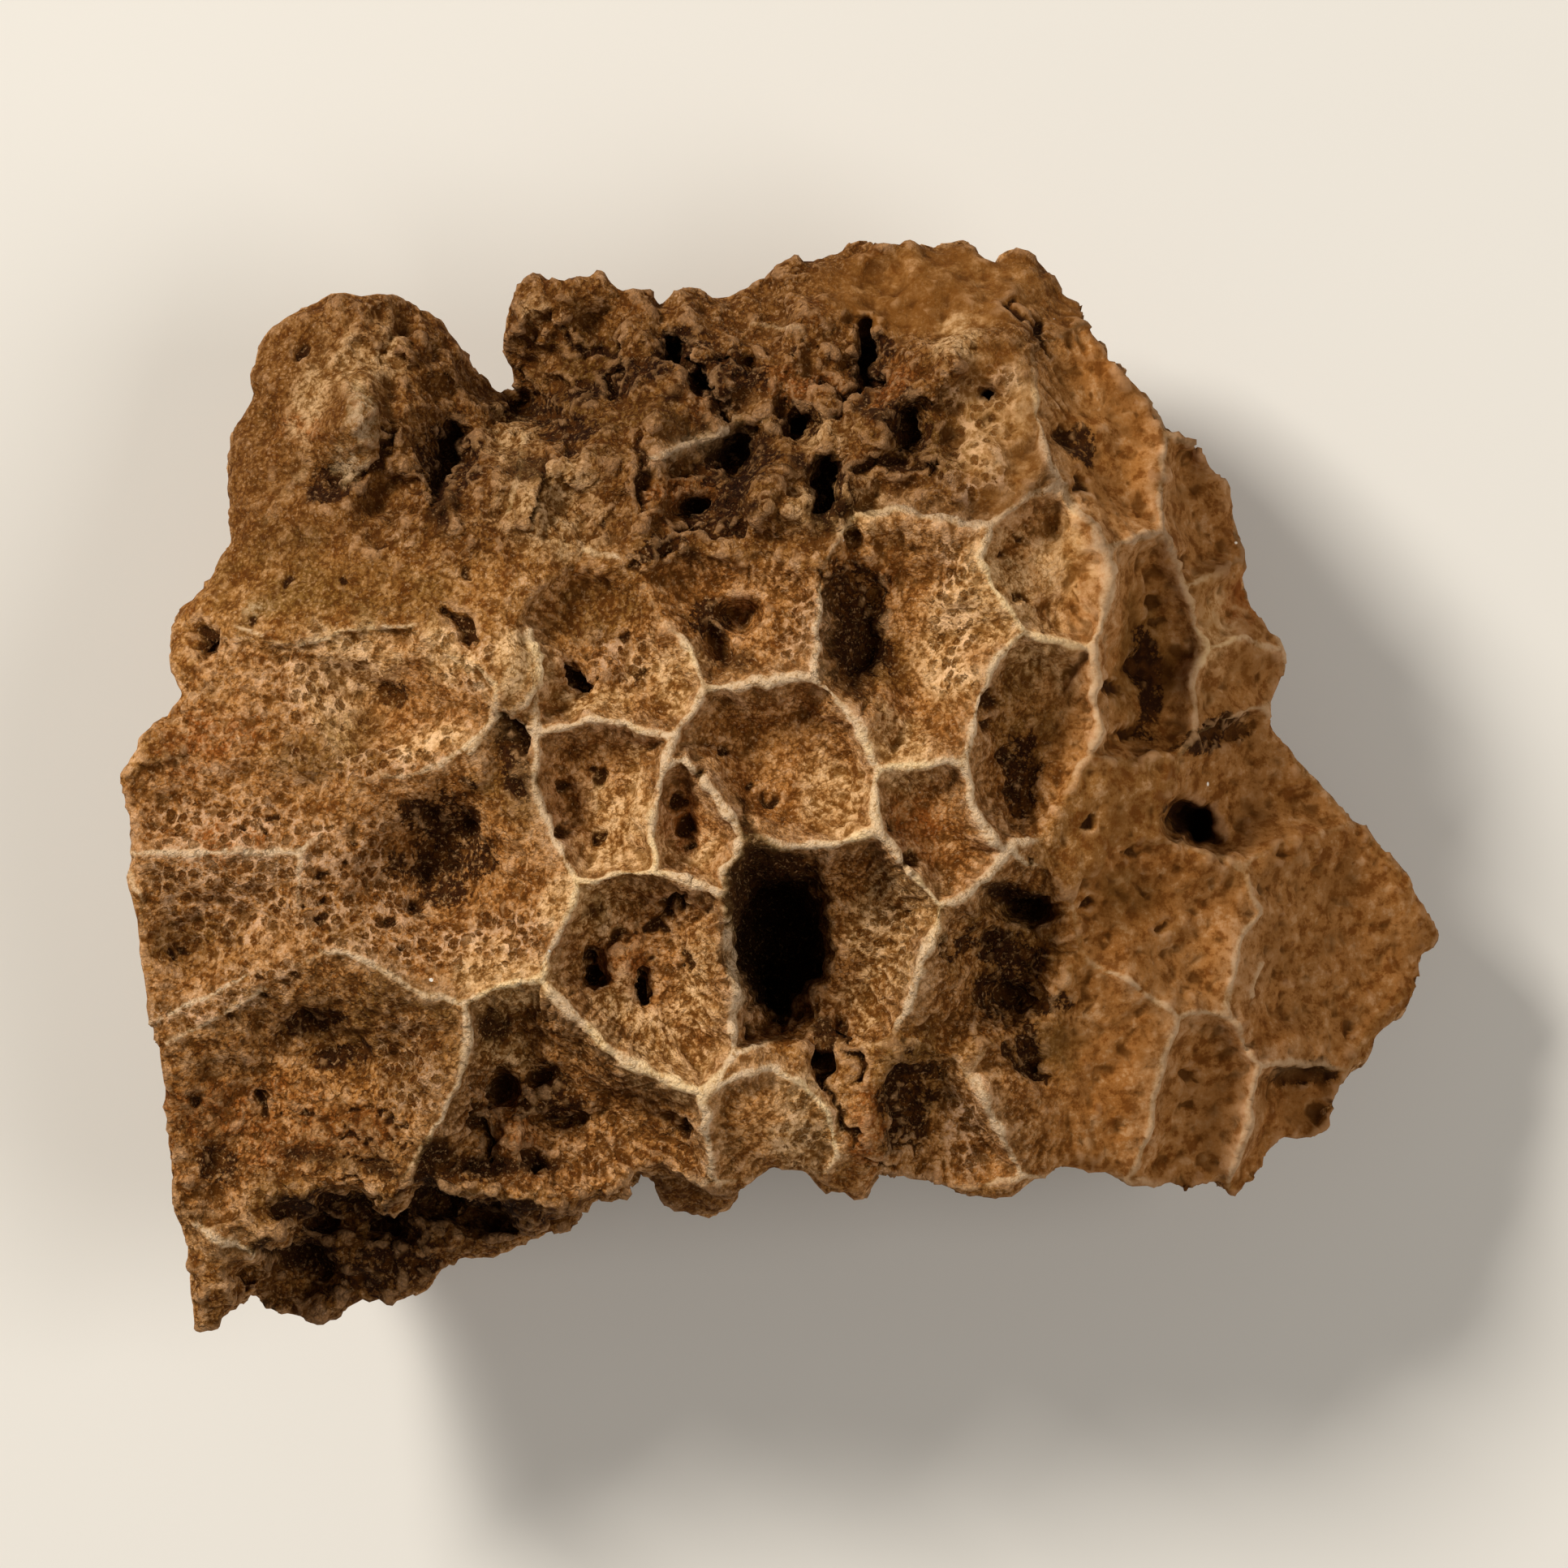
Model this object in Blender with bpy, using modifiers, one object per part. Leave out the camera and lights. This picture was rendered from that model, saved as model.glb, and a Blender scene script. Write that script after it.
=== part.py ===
"""A broken lump of a colonial rugose coral, 103 mm wide, lying on its back.

The top is the living surface of the colony: many-sided cups (calices) that share thin walls. The left side
is a clean break, the lower edge has lost a shelf of cups, the upper part is weathered to knobs and holes, and
the right side falls away to a thin edge. The lump rests on a small flat on its underside.

Everything is in millimetres until the last step. X runs to the right and Y up the coral as it is seen from
above, and Z stands up from the flat that it rests on.
"""

import math

import bmesh
import bpy
import numpy as np
from mathutils import Matrix, Vector, noise

MM = 0.001
NAME = "coral_lump"

# Sizes of the lump
BLOCK_HEIGHT = 30.0
BLOCK_VOXEL = 0.9
STONE_VOXEL = 0.8
STONE_TRIANGLES = 9600
TAPER = 0.11
GROWTH_CENTRE = (-2.0, -1.0)
CREST_WIDTH = 0.7
WORN_DEPTH = 0.9
RIM_ROUND = 1.2
RIM_DROP = 0.8
UNDER_ROUND = 8.0
UNDER_RISE = 5.0
SIDE_ROUGHNESS = 1.6
SIDE_BAND = 3.2
COLUMN_DEPTH = 1.3
COLUMN_INSET = 2.2
UNDER_ROUGHNESS = 1.3
UNDER_CELL_DEPTH = 1.2
TOP_ROUGHNESS = 0.4
RUBBLE_ROUGHNESS = 1.4

# The outline seen from above, clockwise from the left corner
OUTLINE = [
    (-51.5, 0.4), (-50.9, 1.4), (-50.0, 2.6), (-49.8, 3.7), (-48.2, 5.0), (-47.0, 6.4), (-46.8, 7.4),
    (-47.4, 8.4), (-47.4, 9.6), (-47.0, 11.8), (-46.2, 13.6), (-45.2, 14.6), (-44.6, 15.8), (-43.8, 17.4),
    (-43.0, 18.6), (-42.9, 20.5), (-43.0, 24.5), (-43.0, 27.7), (-42.0, 28.8), (-40.9, 30.1), (-41.5, 30.8),
    (-41.4, 31.9), (-40.8, 33.6), (-40.0, 35.3), (-38.0, 36.6), (-36.2, 37.4), (-35.2, 38.1), (-34.3, 38.2),
    (-33.0, 37.8), (-31.6, 38.2), (-30.5, 37.9), (-28.5, 37.3), (-27.0, 36.4), (-26.0, 35.0), (-25.0, 33.4),
    (-24.0, 32.0), (-22.4, 30.6), (-21.5, 30.1), (-20.9, 31.2), (-21.0, 32.3), (-21.8, 33.8), (-21.9, 35.0),
    (-21.4, 37.0), (-20.4, 38.4), (-19.8, 39.4), (-19.2, 39.6), (-17.5, 39.0), (-16.6, 39.5), (-15.0, 39.6),
    (-14.3, 40.2), (-13.9, 39.8), (-13.5, 38.9), (-12.6, 38.3), (-10.7, 38.4), (-10.2, 37.9), (-10.0, 37.0),
    (-9.2, 37.0), (-8.8, 37.9), (-7.9, 38.4), (-7.0, 38.5), (-5.2, 37.9), (-4.0, 38.2), (-2.5, 38.9),
    (-1.2, 39.7), (-0.7, 40.6), (0.3, 41.0), (2.5, 40.9), (4.0, 41.5), (5.6, 42.6), (7.5, 42.3), (10.3, 42.2),
    (11.5, 41.8), (13.5, 42.1), (14.4, 42.0), (15.5, 41.0), (17.1, 40.5), (17.4, 41.6), (18.5, 41.8),
    (19.3, 41.5), (20.3, 40.3), (21.2, 39.3), (21.8, 37.9), (22.8, 37.9), (23.3, 37.0), (23.4, 36.2),
    (24.2, 34.6), (25.0, 34.1), (25.1, 32.8), (26.1, 32.7), (27.0, 31.4), (28.4, 30.0), (29.6, 28.2),
    (30.6, 27.3), (32.3, 26.7), (33.0, 25.6), (33.3, 24.6), (34.6, 24.2), (35.0, 23.3), (35.1, 20.8),
    (36.1, 17.9), (35.9, 16.2), (36.2, 14.8), (37.3, 13.3), (38.9, 10.8), (39.6, 9.2), (39.2, 8.1),
    (38.2, 6.8), (37.6, 5.6), (38.1, 4.9), (39.4, 3.3), (40.5, 1.8), (42.0, 0.2), (43.6, -1.6), (44.4, -2.8),
    (45.6, -3.6), (47.4, -5.4), (49.0, -7.2), (50.0, -8.6), (50.8, -10.2), (51.4, -11.8), (51.2, -12.8),
    (50.0, -13.6), (50.2, -14.8), (49.2, -16.4), (48.2, -17.9), (46.1, -19.5), (45.5, -21.5), (44.1, -22.5),
    (43.4, -24.3), (43.1, -26.2), (42.6, -27.3), (41.2, -27.9), (38.7, -27.9), (38.1, -28.8), (37.4, -30.0),
    (36.1, -31.1), (35.2, -32.5), (34.6, -32.2), (34.6, -31.2), (32.6, -31.3), (31.2, -32.0), (30.4, -31.3),
    (28.2, -31.1), (26.6, -31.2), (26.3, -30.6), (24.4, -30.1), (22.5, -29.8), (20.8, -29.9), (19.3, -30.6),
    (18.2, -31.6), (16.2, -32.1), (14.4, -31.8), (12.0, -31.2), (9.0, -30.4), (7.0, -30.0), (6.7, -31.0),
    (6.2, -32.3), (5.3, -32.2), (4.8, -31.7), (3.0, -31.7), (2.5, -30.8), (1.8, -30.0), (-0.8, -30.0),
    (-3.2, -31.4), (-4.2, -32.6), (-5.2, -33.3), (-7.0, -33.6), (-8.8, -33.2), (-9.8, -32.4), (-10.0, -31.2),
    (-11.5, -30.1), (-11.7, -31.6), (-12.6, -31.9), (-13.6, -32.6), (-14.6, -32.0), (-15.5, -32.6),
    (-15.9, -33.3), (-16.5, -34.3), (-17.4, -34.8), (-19.0, -34.8), (-22.0, -36.2), (-25.0, -36.9),
    (-27.0, -37.8), (-27.6, -39.0), (-28.4, -39.7), (-30.4, -40.2), (-33.0, -40.5), (-34.4, -41.2),
    (-35.2, -41.9), (-36.4, -41.8), (-38.0, -41.4), (-39.6, -40.6), (-41.4, -40.0), (-42.8, -40.1),
    (-43.6, -41.3), (-44.1, -42.3), (-45.6, -42.7), (-45.9, -41.8), (-46.0, -36.2), (-46.5, -35.0),
    (-47.2, -32.5), (-47.5, -29.0), (-47.8, -25.5), (-47.9, -23.0), (-48.5, -20.0), (-49.1, -17.5),
    (-49.5, -14.0), (-49.8, -11.0), (-50.4, -8.6), (-50.5, -7.5), (-50.1, -6.0), (-50.3, -4.6), (-50.9, -2.0),
]

# Corners and bends of the walls between the cups: x, y and the height of the wall's crest
CORNERS = {
    "a1": (-18.6, 4.2, 35.4), "a2": (-15.0, 4.9, 35.8), "a3": (-12.0, 4.5, 36.0), "a4": (-8.9, 3.5, 36.4),
    "a5": (-9.3, 1.2, 36.6), "a6": (-10.3, -3.0, 36.6), "a7": (-10.1, -6.4, 36.8), "a8": (-15.7, -7.7, 36.2),
    "a9": (-18.7, -2.0, 35.6), "a10": (-19.2, 0.6, 35.4),
    "b1": (-8.2, 1.7, 36.4), "b2": (-6.2, 0.1, 36.8), "b3": (-4.9, -1.9, 37.0), "b4": (-2.9, -4.0, 37.2),
    "b5": (-4.4, -6.6, 37.2), "b6": (-4.9, -8.7, 37.2), "b7": (-7.5, -7.7, 37.0),
    "d1": (-7.6, 5.4, 36.0), "d2": (-5.9, 7.3, 35.8), "d3": (-1.5, 7.5, 35.6), "d4": (2.6, 8.3, 35.4),
    "d5": (4.6, 5.3, 35.8), "d6": (7.7, 1.1, 36.2), "d7": (7.3, -1.5, 36.6), "d8": (6.9, -4.1, 36.8),
    "d9": (3.2, -4.8, 37.0), "d10": (-0.3, -4.8, 37.1),
    "e1": (9.3, -6.9, 36.4), "e2": (11.5, -9.4, 35.8), "e3": (11.0, -12.4, 35.6), "e4": (10.1, -16.0, 34.8),
    "e5": (8.7, -19.2, 33.6), "e6": (4.0, -20.0, 32.8), "e7": (0.0, -19.8, 33.0), "e8": (-3.7, -20.4, 34.4),
    "e9": (-3.6, -17.4, 36.0), "e10": (-4.5, -12.5, 37.0),
    "f1": (-6.4, -24.0, 35.0), "f2": (-10.8, -21.5, 35.4), "f3": (-14.3, -19.2, 35.6),
    "f4": (-16.6, -16.8, 35.8), "f5": (-18.4, -14.9, 36.0), "f6": (-17.2, -11.0, 36.2),
    "g1": (10.4, 1.7, 35.9), "g2": (13.9, 1.7, 35.2), "g3": (14.4, -1.4, 34.9), "g4": (16.9, -5.2, 33.6),
    "g5": (15.2, -7.4, 34.4),
    "h1": (15.0, 5.6, 34.4), "h2": (15.9, 8.8, 33.8), "h3": (18.2, 11.6, 33.2), "h4": (15.6, 15.2, 33.4),
    "h5": (15.1, 17.6, 33.2), "h6": (15.7, 19.7, 32.6), "h7": (12.6, 20.0, 33.0), "h8": (8.8, 20.9, 33.0),
    "h9": (5.4, 20.6, 33.2), "h10": (2.7, 16.0, 34.6), "h11": (2.4, 11.5, 35.2),
    "i1": (17.6, 21.3, 31.8), "i2": (21.0, 23.2, 30.6), "i3": (22.8, 20.9, 30.6), "i4": (24.9, 18.1, 30.2),
    "i5": (24.6, 14.0, 30.4), "i6": (24.1, 10.5, 30.4), "i7": (20.8, 10.9, 32.0),
    "j1": (5.2, 23.8, 32.0), "j2": (8.2, 24.9, 31.6), "j3": (12.0, 24.0, 31.6),
    "k1": (23.7, 7.0, 30.4), "k2": (24.2, 4.0, 30.2), "k3": (23.2, 1.8, 30.4), "k4": (21.4, -1.0, 31.0),
    "k5": (20.2, -3.6, 31.6),
    "l1": (19.8, 26.2, 29.8), "l2": (18.7, 30.2, 28.0), "l3": (18.9, 33.6, 25.8), "l4": (23.6, 35.6, 22.6),
    "l5": (28.2, 30.2, 22.6), "l6": (29.9, 27.4, 22.8), "l7": (29.1, 24.0, 24.6), "l8": (29.0, 19.3, 26.4),
    "l9": (26.6, 18.5, 28.4),
    "m1": (32.6, 26.4, 19.6), "m2": (34.8, 23.6, 18.2), "m3": (35.0, 20.4, 18.8), "m4": (36.0, 17.0, 18.8),
    "m5": (31.2, 15.4, 23.8), "m6": (30.0, 17.2, 25.2),
    "n1": (32.2, 12.2, 22.8), "n2": (32.8, 10.6, 22.2), "n3": (31.6, 7.2, 23.4), "n4": (31.2, 3.8, 24.2),
    "n5": (27.6, 1.2, 26.8),
    "o1": (36.4, 14.4, 18.8), "o2": (38.8, 10.5, 17.4), "o3": (35.4, 11.1, 20.2), "o4": (39.4, 9.0, 16.6),
    "o5": (37.7, 5.6, 18.4), "o6": (34.6, 5.0, 21.6),
    "p1": (39.6, 3.0, 16.8), "p2": (42.2, 0.0, 15.4), "p3": (44.6, -3.0, 14.6), "p4": (40.8, -3.9, 18.4),
    "p5": (38.2, -5.0, 20.4), "p6": (35.6, -6.8, 22.4), "p7": (31.0, -4.6, 25.4), "p8": (29.6, -1.4, 25.6),
    "q1": (36.8, -9.8, 21.6), "q2": (35.0, -12.6, 23.0), "q3": (34.3, -17.8, 23.2), "q4": (31.4, -18.1, 24.8),
    "q5": (30.2, -18.7, 25.4), "q6": (26.6, -15.6, 27.4), "q7": (23.4, -13.2, 28.8), "q8": (22.4, -8.6, 29.8),
    "q9": (25.6, -4.2, 28.0),
    "r1": (47.4, -5.6, 13.6), "r2": (50.4, -9.6, 12.0), "r3": (51.0, -12.6, 11.6), "r4": (49.6, -16.0, 12.4),
    "r5": (46.2, -19.4, 14.4), "r6": (44.2, -22.2, 16.2), "r7": (40.6, -21.5, 18.8),
    "r8": (36.8, -21.5, 21.4),
    "s1": (35.8, -24.4, 21.6), "s2": (35.3, -28.0, 20.8), "s3": (34.9, -31.6, 19.4),
    "s4": (31.0, -31.6, 21.2),
    "s5": (27.0, -30.6, 23.2), "s6": (27.8, -26.8, 24.4), "s7": (28.9, -23.2, 25.0),
    "t1": (43.2, -25.6, 16.0), "t2": (40.6, -27.8, 17.0), "t3": (37.6, -29.8, 18.0),
    "u1": (22.4, -29.8, 25.8), "u2": (18.7, -30.2, 27.4), "u3": (16.8, -26.4, 29.6),
    "u4": (15.6, -23.6, 30.6),
    "u5": (14.2, -21.6, 31.0), "u6": (16.4, -19.4, 30.8), "u7": (20.4, -17.8, 29.4),
    "v1": (20.0, -6.6, 31.4), "v2": (12.6, -20.2, 32.2), "v3": (8.6, -21.2, 32.6),
    "w1": (12.6, -31.0, 28.4), "w2": (8.4, -30.2, 29.0), "w3": (8.0, -25.0, 31.0),
    "x1": (-4.0, -22.6, 34.8), "x2": (-1.2, -21.9, 34.4), "x3": (1.4, -22.8, 33.6), "x4": (3.4, -24.8, 32.6),
    "x5": (4.3, -28.2, 31.0), "x6": (3.0, -29.8, 29.8), "x7": (-1.4, -30.0, 30.6), "x8": (-5.0, -30.4, 31.0),
    "x9": (-5.8, -27.4, 33.2),
    "y1": (-11.4, -30.0, 30.6), "y2": (-16.4, -31.4, 30.4), "y3": (-22.4, -32.0, 30.6),
    "y4": (-26.6, -30.4, 31.4), "y5": (-28.0, -28.2, 32.4), "y6": (-26.4, -26.0, 33.4),
    "y7": (-25.2, -22.6, 34.0), "y8": (-24.8, -20.0, 34.4), "y9": (-25.0, -17.2, 34.8),
    "y10": (-21.8, -15.9, 35.4),
    "z1": (-37.0, -5.3, 33.2), "z2": (-35.0, -3.0, 33.4), "z3": (-33.2, -0.2, 33.8), "z4": (-28.6, 0.6, 34.8),
    "z5": (-24.6, 2.4, 35.4), "z6": (-21.8, 4.8, 35.4), "z7": (-30.4, -15.0, 34.4),
    "z8": (-33.6, -13.4, 34.0),
    "z9": (-35.9, -13.3, 33.8), "z10": (-37.0, -9.2, 33.2),
    "aa1": (-29.8, -31.4, 30.8), "aa2": (-36.6, -31.6, 29.8), "aa3": (-40.4, -33.4, 29.0),
    "aa4": (-45.0, -34.0, 28.4), "aa5": (-47.3, -30.0, 28.8), "aa6": (-48.2, -21.5, 30.0),
    "aa7": (-48.6, -19.4, 30.4), "aa8": (-43.4, -17.2, 32.0), "aa9": (-39.0, -15.0, 33.2),
    "bb1": (-49.6, -12.0, 30.6), "bb2": (-50.3, -5.5, 31.0), "bb3": (-35.4, 1.6, 33.2),
    "bb4": (-40.6, 2.4, 32.0), "bb5": (-46.0, 2.8, 30.8), "bb6": (-51.2, 0.4, 30.2),
    "cc1": (-22.4, 7.4, 35.8), "cc2": (-26.0, 10.6, 34.4), "cc3": (-28.8, 12.2, 33.4),
    "cc4": (-33.8, 11.8, 32.4), "cc5": (-38.0, 10.8, 31.4), "cc6": (-37.4, 6.0, 32.2),
    "dd1": (-49.6, 3.4, 29.6), "dd2": (-47.0, 7.0, 29.4), "dd3": (-43.8, 11.5, 29.2),
    "ee1": (-19.4, 8.4, 36.0), "ee2": (-20.6, 12.2, 34.8), "ee3": (-16.4, 16.6, 32.6),
    "ee4": (-11.2, 15.6, 33.4), "ee5": (-8.2, 11.6, 34.6), "ee6": (-6.9, 9.4, 35.2),
    "ff1": (-8.0, 17.4, 32.4), "ff2": (-1.0, 17.6, 32.8),
}

# Corners where the wall is worn low, with the share of it that is left; elsewhere it is whole
WORN = {
    "z1": 0.7, "z2": 0.12, "z3": 0.08, "z4": 0.5, "z5": 0.6, "z6": 0.5, "z7": 0.8, "z8": 0.7, "z9": 0.25,
    "z10": 0.12, "aa1": 0.1, "aa2": 0.1, "aa3": 0.1, "aa4": 0.1, "aa5": 0.1, "aa6": 0.1, "aa7": 0.1,
    "aa8": 0.1, "aa9": 0.15, "bb1": 0.1, "bb2": 0.7, "bb3": 0.1, "bb4": 0.1, "bb5": 0.1, "bb6": 0.1,
    "cc1": 0.4, "cc2": 0.2, "cc3": 0.2, "cc4": 0.2, "cc5": 0.2, "cc6": 0.1, "dd1": 0.1, "dd2": 0.1,
    "dd3": 0.2, "ee1": 0.4, "ee2": 0.15, "ee3": 0.1, "ee4": 0.1, "ee5": 0.3, "ff1": 0.1, "ff2": 0.1,
    "h9": 0.5, "h10": 0.12, "e5": 0.3, "e6": 0.1, "e7": 0.1, "v3": 0.1, "w3": 0.1, "w2": 0.1, "w1": 0.1,
    "q7": 0.2, "q8": 0.2, "q9": 0.1, "p8": 0.12, "p7": 0.25, "k3": 0.5, "k4": 0.1, "k5": 0.1, "n5": 0.1,
    "v1": 0.1, "u7": 0.1, "u6": 0.1, "u5": 0.3, "v2": 0.1, "p4": 0.1, "p5": 0.2, "p6": 0.35, "q1": 0.6,
    "q6": 0.7, "y1": 0.1, "y2": 0.1, "y3": 0.1, "y4": 0.1, "y5": 0.5, "y6": 0.6, "y7": 0.6, "y8": 0.7,
    "l2": 0.6, "l3": 0.2, "l4": 0.2, "l5": 0.4, "m1": 0.5, "m2": 0.5, "m3": 0.4, "m4": 0.2, "m5": 0.5,
    "m6": 0.6, "n1": 0.5, "n3": 0.5, "n4": 0.3, "o1": 0.2, "o3": 0.7, "o4": 0.5, "o5": 0.5, "o6": 0.3,
    "p1": 0.3, "p2": 0.2, "p3": 0.2, "r1": 0.1, "r2": 0.1, "r3": 0.1, "r4": 0.1, "r5": 0.2, "r6": 0.5,
    "r7": 0.7, "t1": 0.1, "t2": 0.1, "t3": 0.1, "s3": 0.3, "s4": 0.1, "s5": 0.5, "u1": 0.1, "u2": 0.5,
    "x5": 0.6, "x6": 0.2, "x7": 0.1, "x8": 0.4,
}

# The cups: the wall corners round each, how deep its floor lies under the crest, and how far from the wall
# the floor is reached. A cup drops steeply from its wall, and a saucer slopes evenly down to its middle.
CUP, SAUCER = "cup", "saucer"
CUPS = [
    ("a1 a2 a3 a4 a5 a6 a7 a8 a9 a10", CUP, 3.1, 2.4),
    ("a5 b1 b2 b3 b4 b5 b6 b7 a7 a6", CUP, 2.6, 1.7),
    ("a4 d1 d2 d3 d4 d5 d6 d7 d8 d9 d10 b4 b3 b2 b1 a5", CUP, 4.8, 4.4),
    ("b6 b5 b4 d10 d9 d8 e1 e2 e3 e4 e5 e6 e7 e8 e9 e10", CUP, 6.0, 4.0),
    ("a8 a7 b7 b6 e10 e9 e8 f1 f2 f3 f4 f5 f6", CUP, 5.3, 4.6),
    ("d6 g1 g2 g3 g4 g5 e2 e1 d8 d7", CUP, 3.2, 3.2),
    ("d4 d5 d6 g1 g2 h1 h2 h3 h4 h5 h6 h7 h8 h9 h10 h11", SAUCER, 5.0, 6.2),
    ("h3 h4 h5 h6 i1 i2 i3 i4 i5 i6 i7", CUP, 3.1, 2.8),
    ("h3 i7 i6 k1 k2 k3 k4 k5 g4 g3 g2 h1 h2", CUP, 4.3, 3.2),
    ("i2 l1 l2 l3 l4 l5 l6 l7 l8 l9 i4 i3", CUP, 3.4, 3.8),
    ("l8 l7 l6 m1 m2 m3 m4 m5 m6", CUP, 3.1, 3.0),
    ("i4 l9 l8 m6 m5 n1 n2 n3 n4 n5 k3 k2 k1 i6 i5", CUP, 4.3, 3.4),
    ("m5 m4 o1 o2 o3 n2 n1", CUP, 1.7, 2.4),
    ("n2 o3 o2 o4 o5 o6 n4 n3", SAUCER, 1.1, 2.6),
    ("n4 o6 o5 p1 p2 p3 p4 p5 p6 p7 p8", CUP, 3.1, 3.6),
    ("p7 p6 q1 q2 q3 q4 q5 q6 q7 q8 q9", SAUCER, 2.0, 4.0),
    ("p6 p5 p4 p3 r1 r2 r3 r4 r5 r6 r7 r8 q3 q2 q1", SAUCER, 2.4, 5.0),
    ("q5 q4 q3 r8 s1 s2 s3 s4 s5 s6 s7", CUP, 2.5, 2.8),
    ("r8 r7 r6 t1 t2 t3 s3 s2 s1", CUP, 2.6, 2.6),
    ("q6 q5 s7 s6 s5 u1 u2 u3 u4 u5 u6 u7 q7", SAUCER, 1.8, 5.6),
    ("e2 g5 g4 v1 q8 q7 u7 u6 v2 e5 e4 e3", SAUCER, 4.4, 4.6),
    ("v3 v2 u5 u4 u3 u2 w1 w2 w3", CUP, 2.6, 2.4),
    ("f1 x1 x2 x3 x4 x5 x6 x7 x8 x9", CUP, 1.1, 1.6),
    ("f5 f4 f3 f2 f1 x9 x8 y1 y2 y3 y4 y5 y6 y7 y8 y9 y10", CUP, 5.5, 5.0),
    ("z1 z2 z3 z4 z5 z6 a1 a10 a9 a8 f6 f5 y10 y9 z7 z8 z9 z10", SAUCER, 3.4, 7.5),
    ("z9 z8 z7 y9 y8 y7 y6 y5 aa1 aa2 aa3 aa4 aa5 aa6 aa7 aa8 aa9", SAUCER, 3.6, 7.0),
    ("z1 z10 z9 aa9 aa8 aa7 bb1 bb2", SAUCER, 2.3, 5.0),
    ("bb2 z1 z2 z3 bb3 bb4 bb5 bb6", SAUCER, 1.8, 3.5),
    ("z3 z4 z5 z6 cc1 cc2 cc3 cc4 cc5 cc6 bb3", SAUCER, 2.5, 5.0),
    ("cc5 cc6 bb3 bb4 bb5 dd1 dd2 dd3", SAUCER, 1.0, 4.0),
    ("a1 ee1 ee2 ee3 ee4 ee5 ee6 d2 d1 a4 a3 a2", CUP, 3.1, 3.8),
    ("d2 ee6 ee5 ee4 ff1 ff2 h10 h11 d4 d3", CUP, 3.1, 3.2),
]

# Heights of the weathered surface away from the cups
WEATHERED = [
    (-33.0, 30.0, 26.5), (-40.0, 33.0, 20.5), (-34.0, 37.6, 19.0), (-26.5, 35.0, 18.5), (-22.8, 31.0, 18.0),
    (-42.6, 24.0, 22.5), (-42.6, 19.4, 24.5), (-46.0, 12.0, 26.5), (-18.6, 37.0, 20.5), (-14.2, 39.0, 19.5),
    (-21.2, 34.0, 18.5), (-20.2, 30.2, 17.5), (-12.0, 33.0, 22.5), (0.0, 40.0, 19.5), (6.0, 42.0, 18.5),
    (14.0, 41.5, 18.5), (19.0, 41.0, 18.5), (23.0, 37.0, 19.5), (5.0, 33.0, 25.5), (12.5, 33.0, 25.5),
    (-1.0, 30.0, 27.0), (-9.0, 37.0, 19.5), (-29.0, 20.5, 31.0), (-36.0, 18.0, 29.0), (-14.0, 22.0, 31.0),
    (-40.0, 15.0, 28.5), (-20.0, 25.0, 29.5), (-9.8, 25.4, 29.8), (-4.8, 27.4, 29.4), (-45.0, -41.5, 25.0),
    (-41.2, -36.4, 28.0), (6.4, -31.0, 28.0),
]

# Places where the top layer has broken off, with the height of the shelf left at a line of y and its fall
SHELVES = [
    ([(-41.5, -37.4), (-40.2, -36.1), (-38.6, -34.6), (-37.2, -33.0), (-34.0, -32.2), (-30.6, -32.8),
      (-28.2, -31.0), (-26.6, -31.6), (-22.6, -32.6), (-19.0, -32.6), (-16.6, -31.8), (-15.2, -32.4),
      (-14.0, -38.0), (-30.0, -46.0), (-43.0, -45.0), (-42.6, -40.0)], -34.0, 22.0, 0.5),
    ([(-11.6, -29.8), (-8.0, -30.2), (-4.4, -30.8), (-2.4, -31.4), (-2.0, -36.0), (-12.0, -36.0)],
     -31.0, 24.0, 0.9),
]

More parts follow.
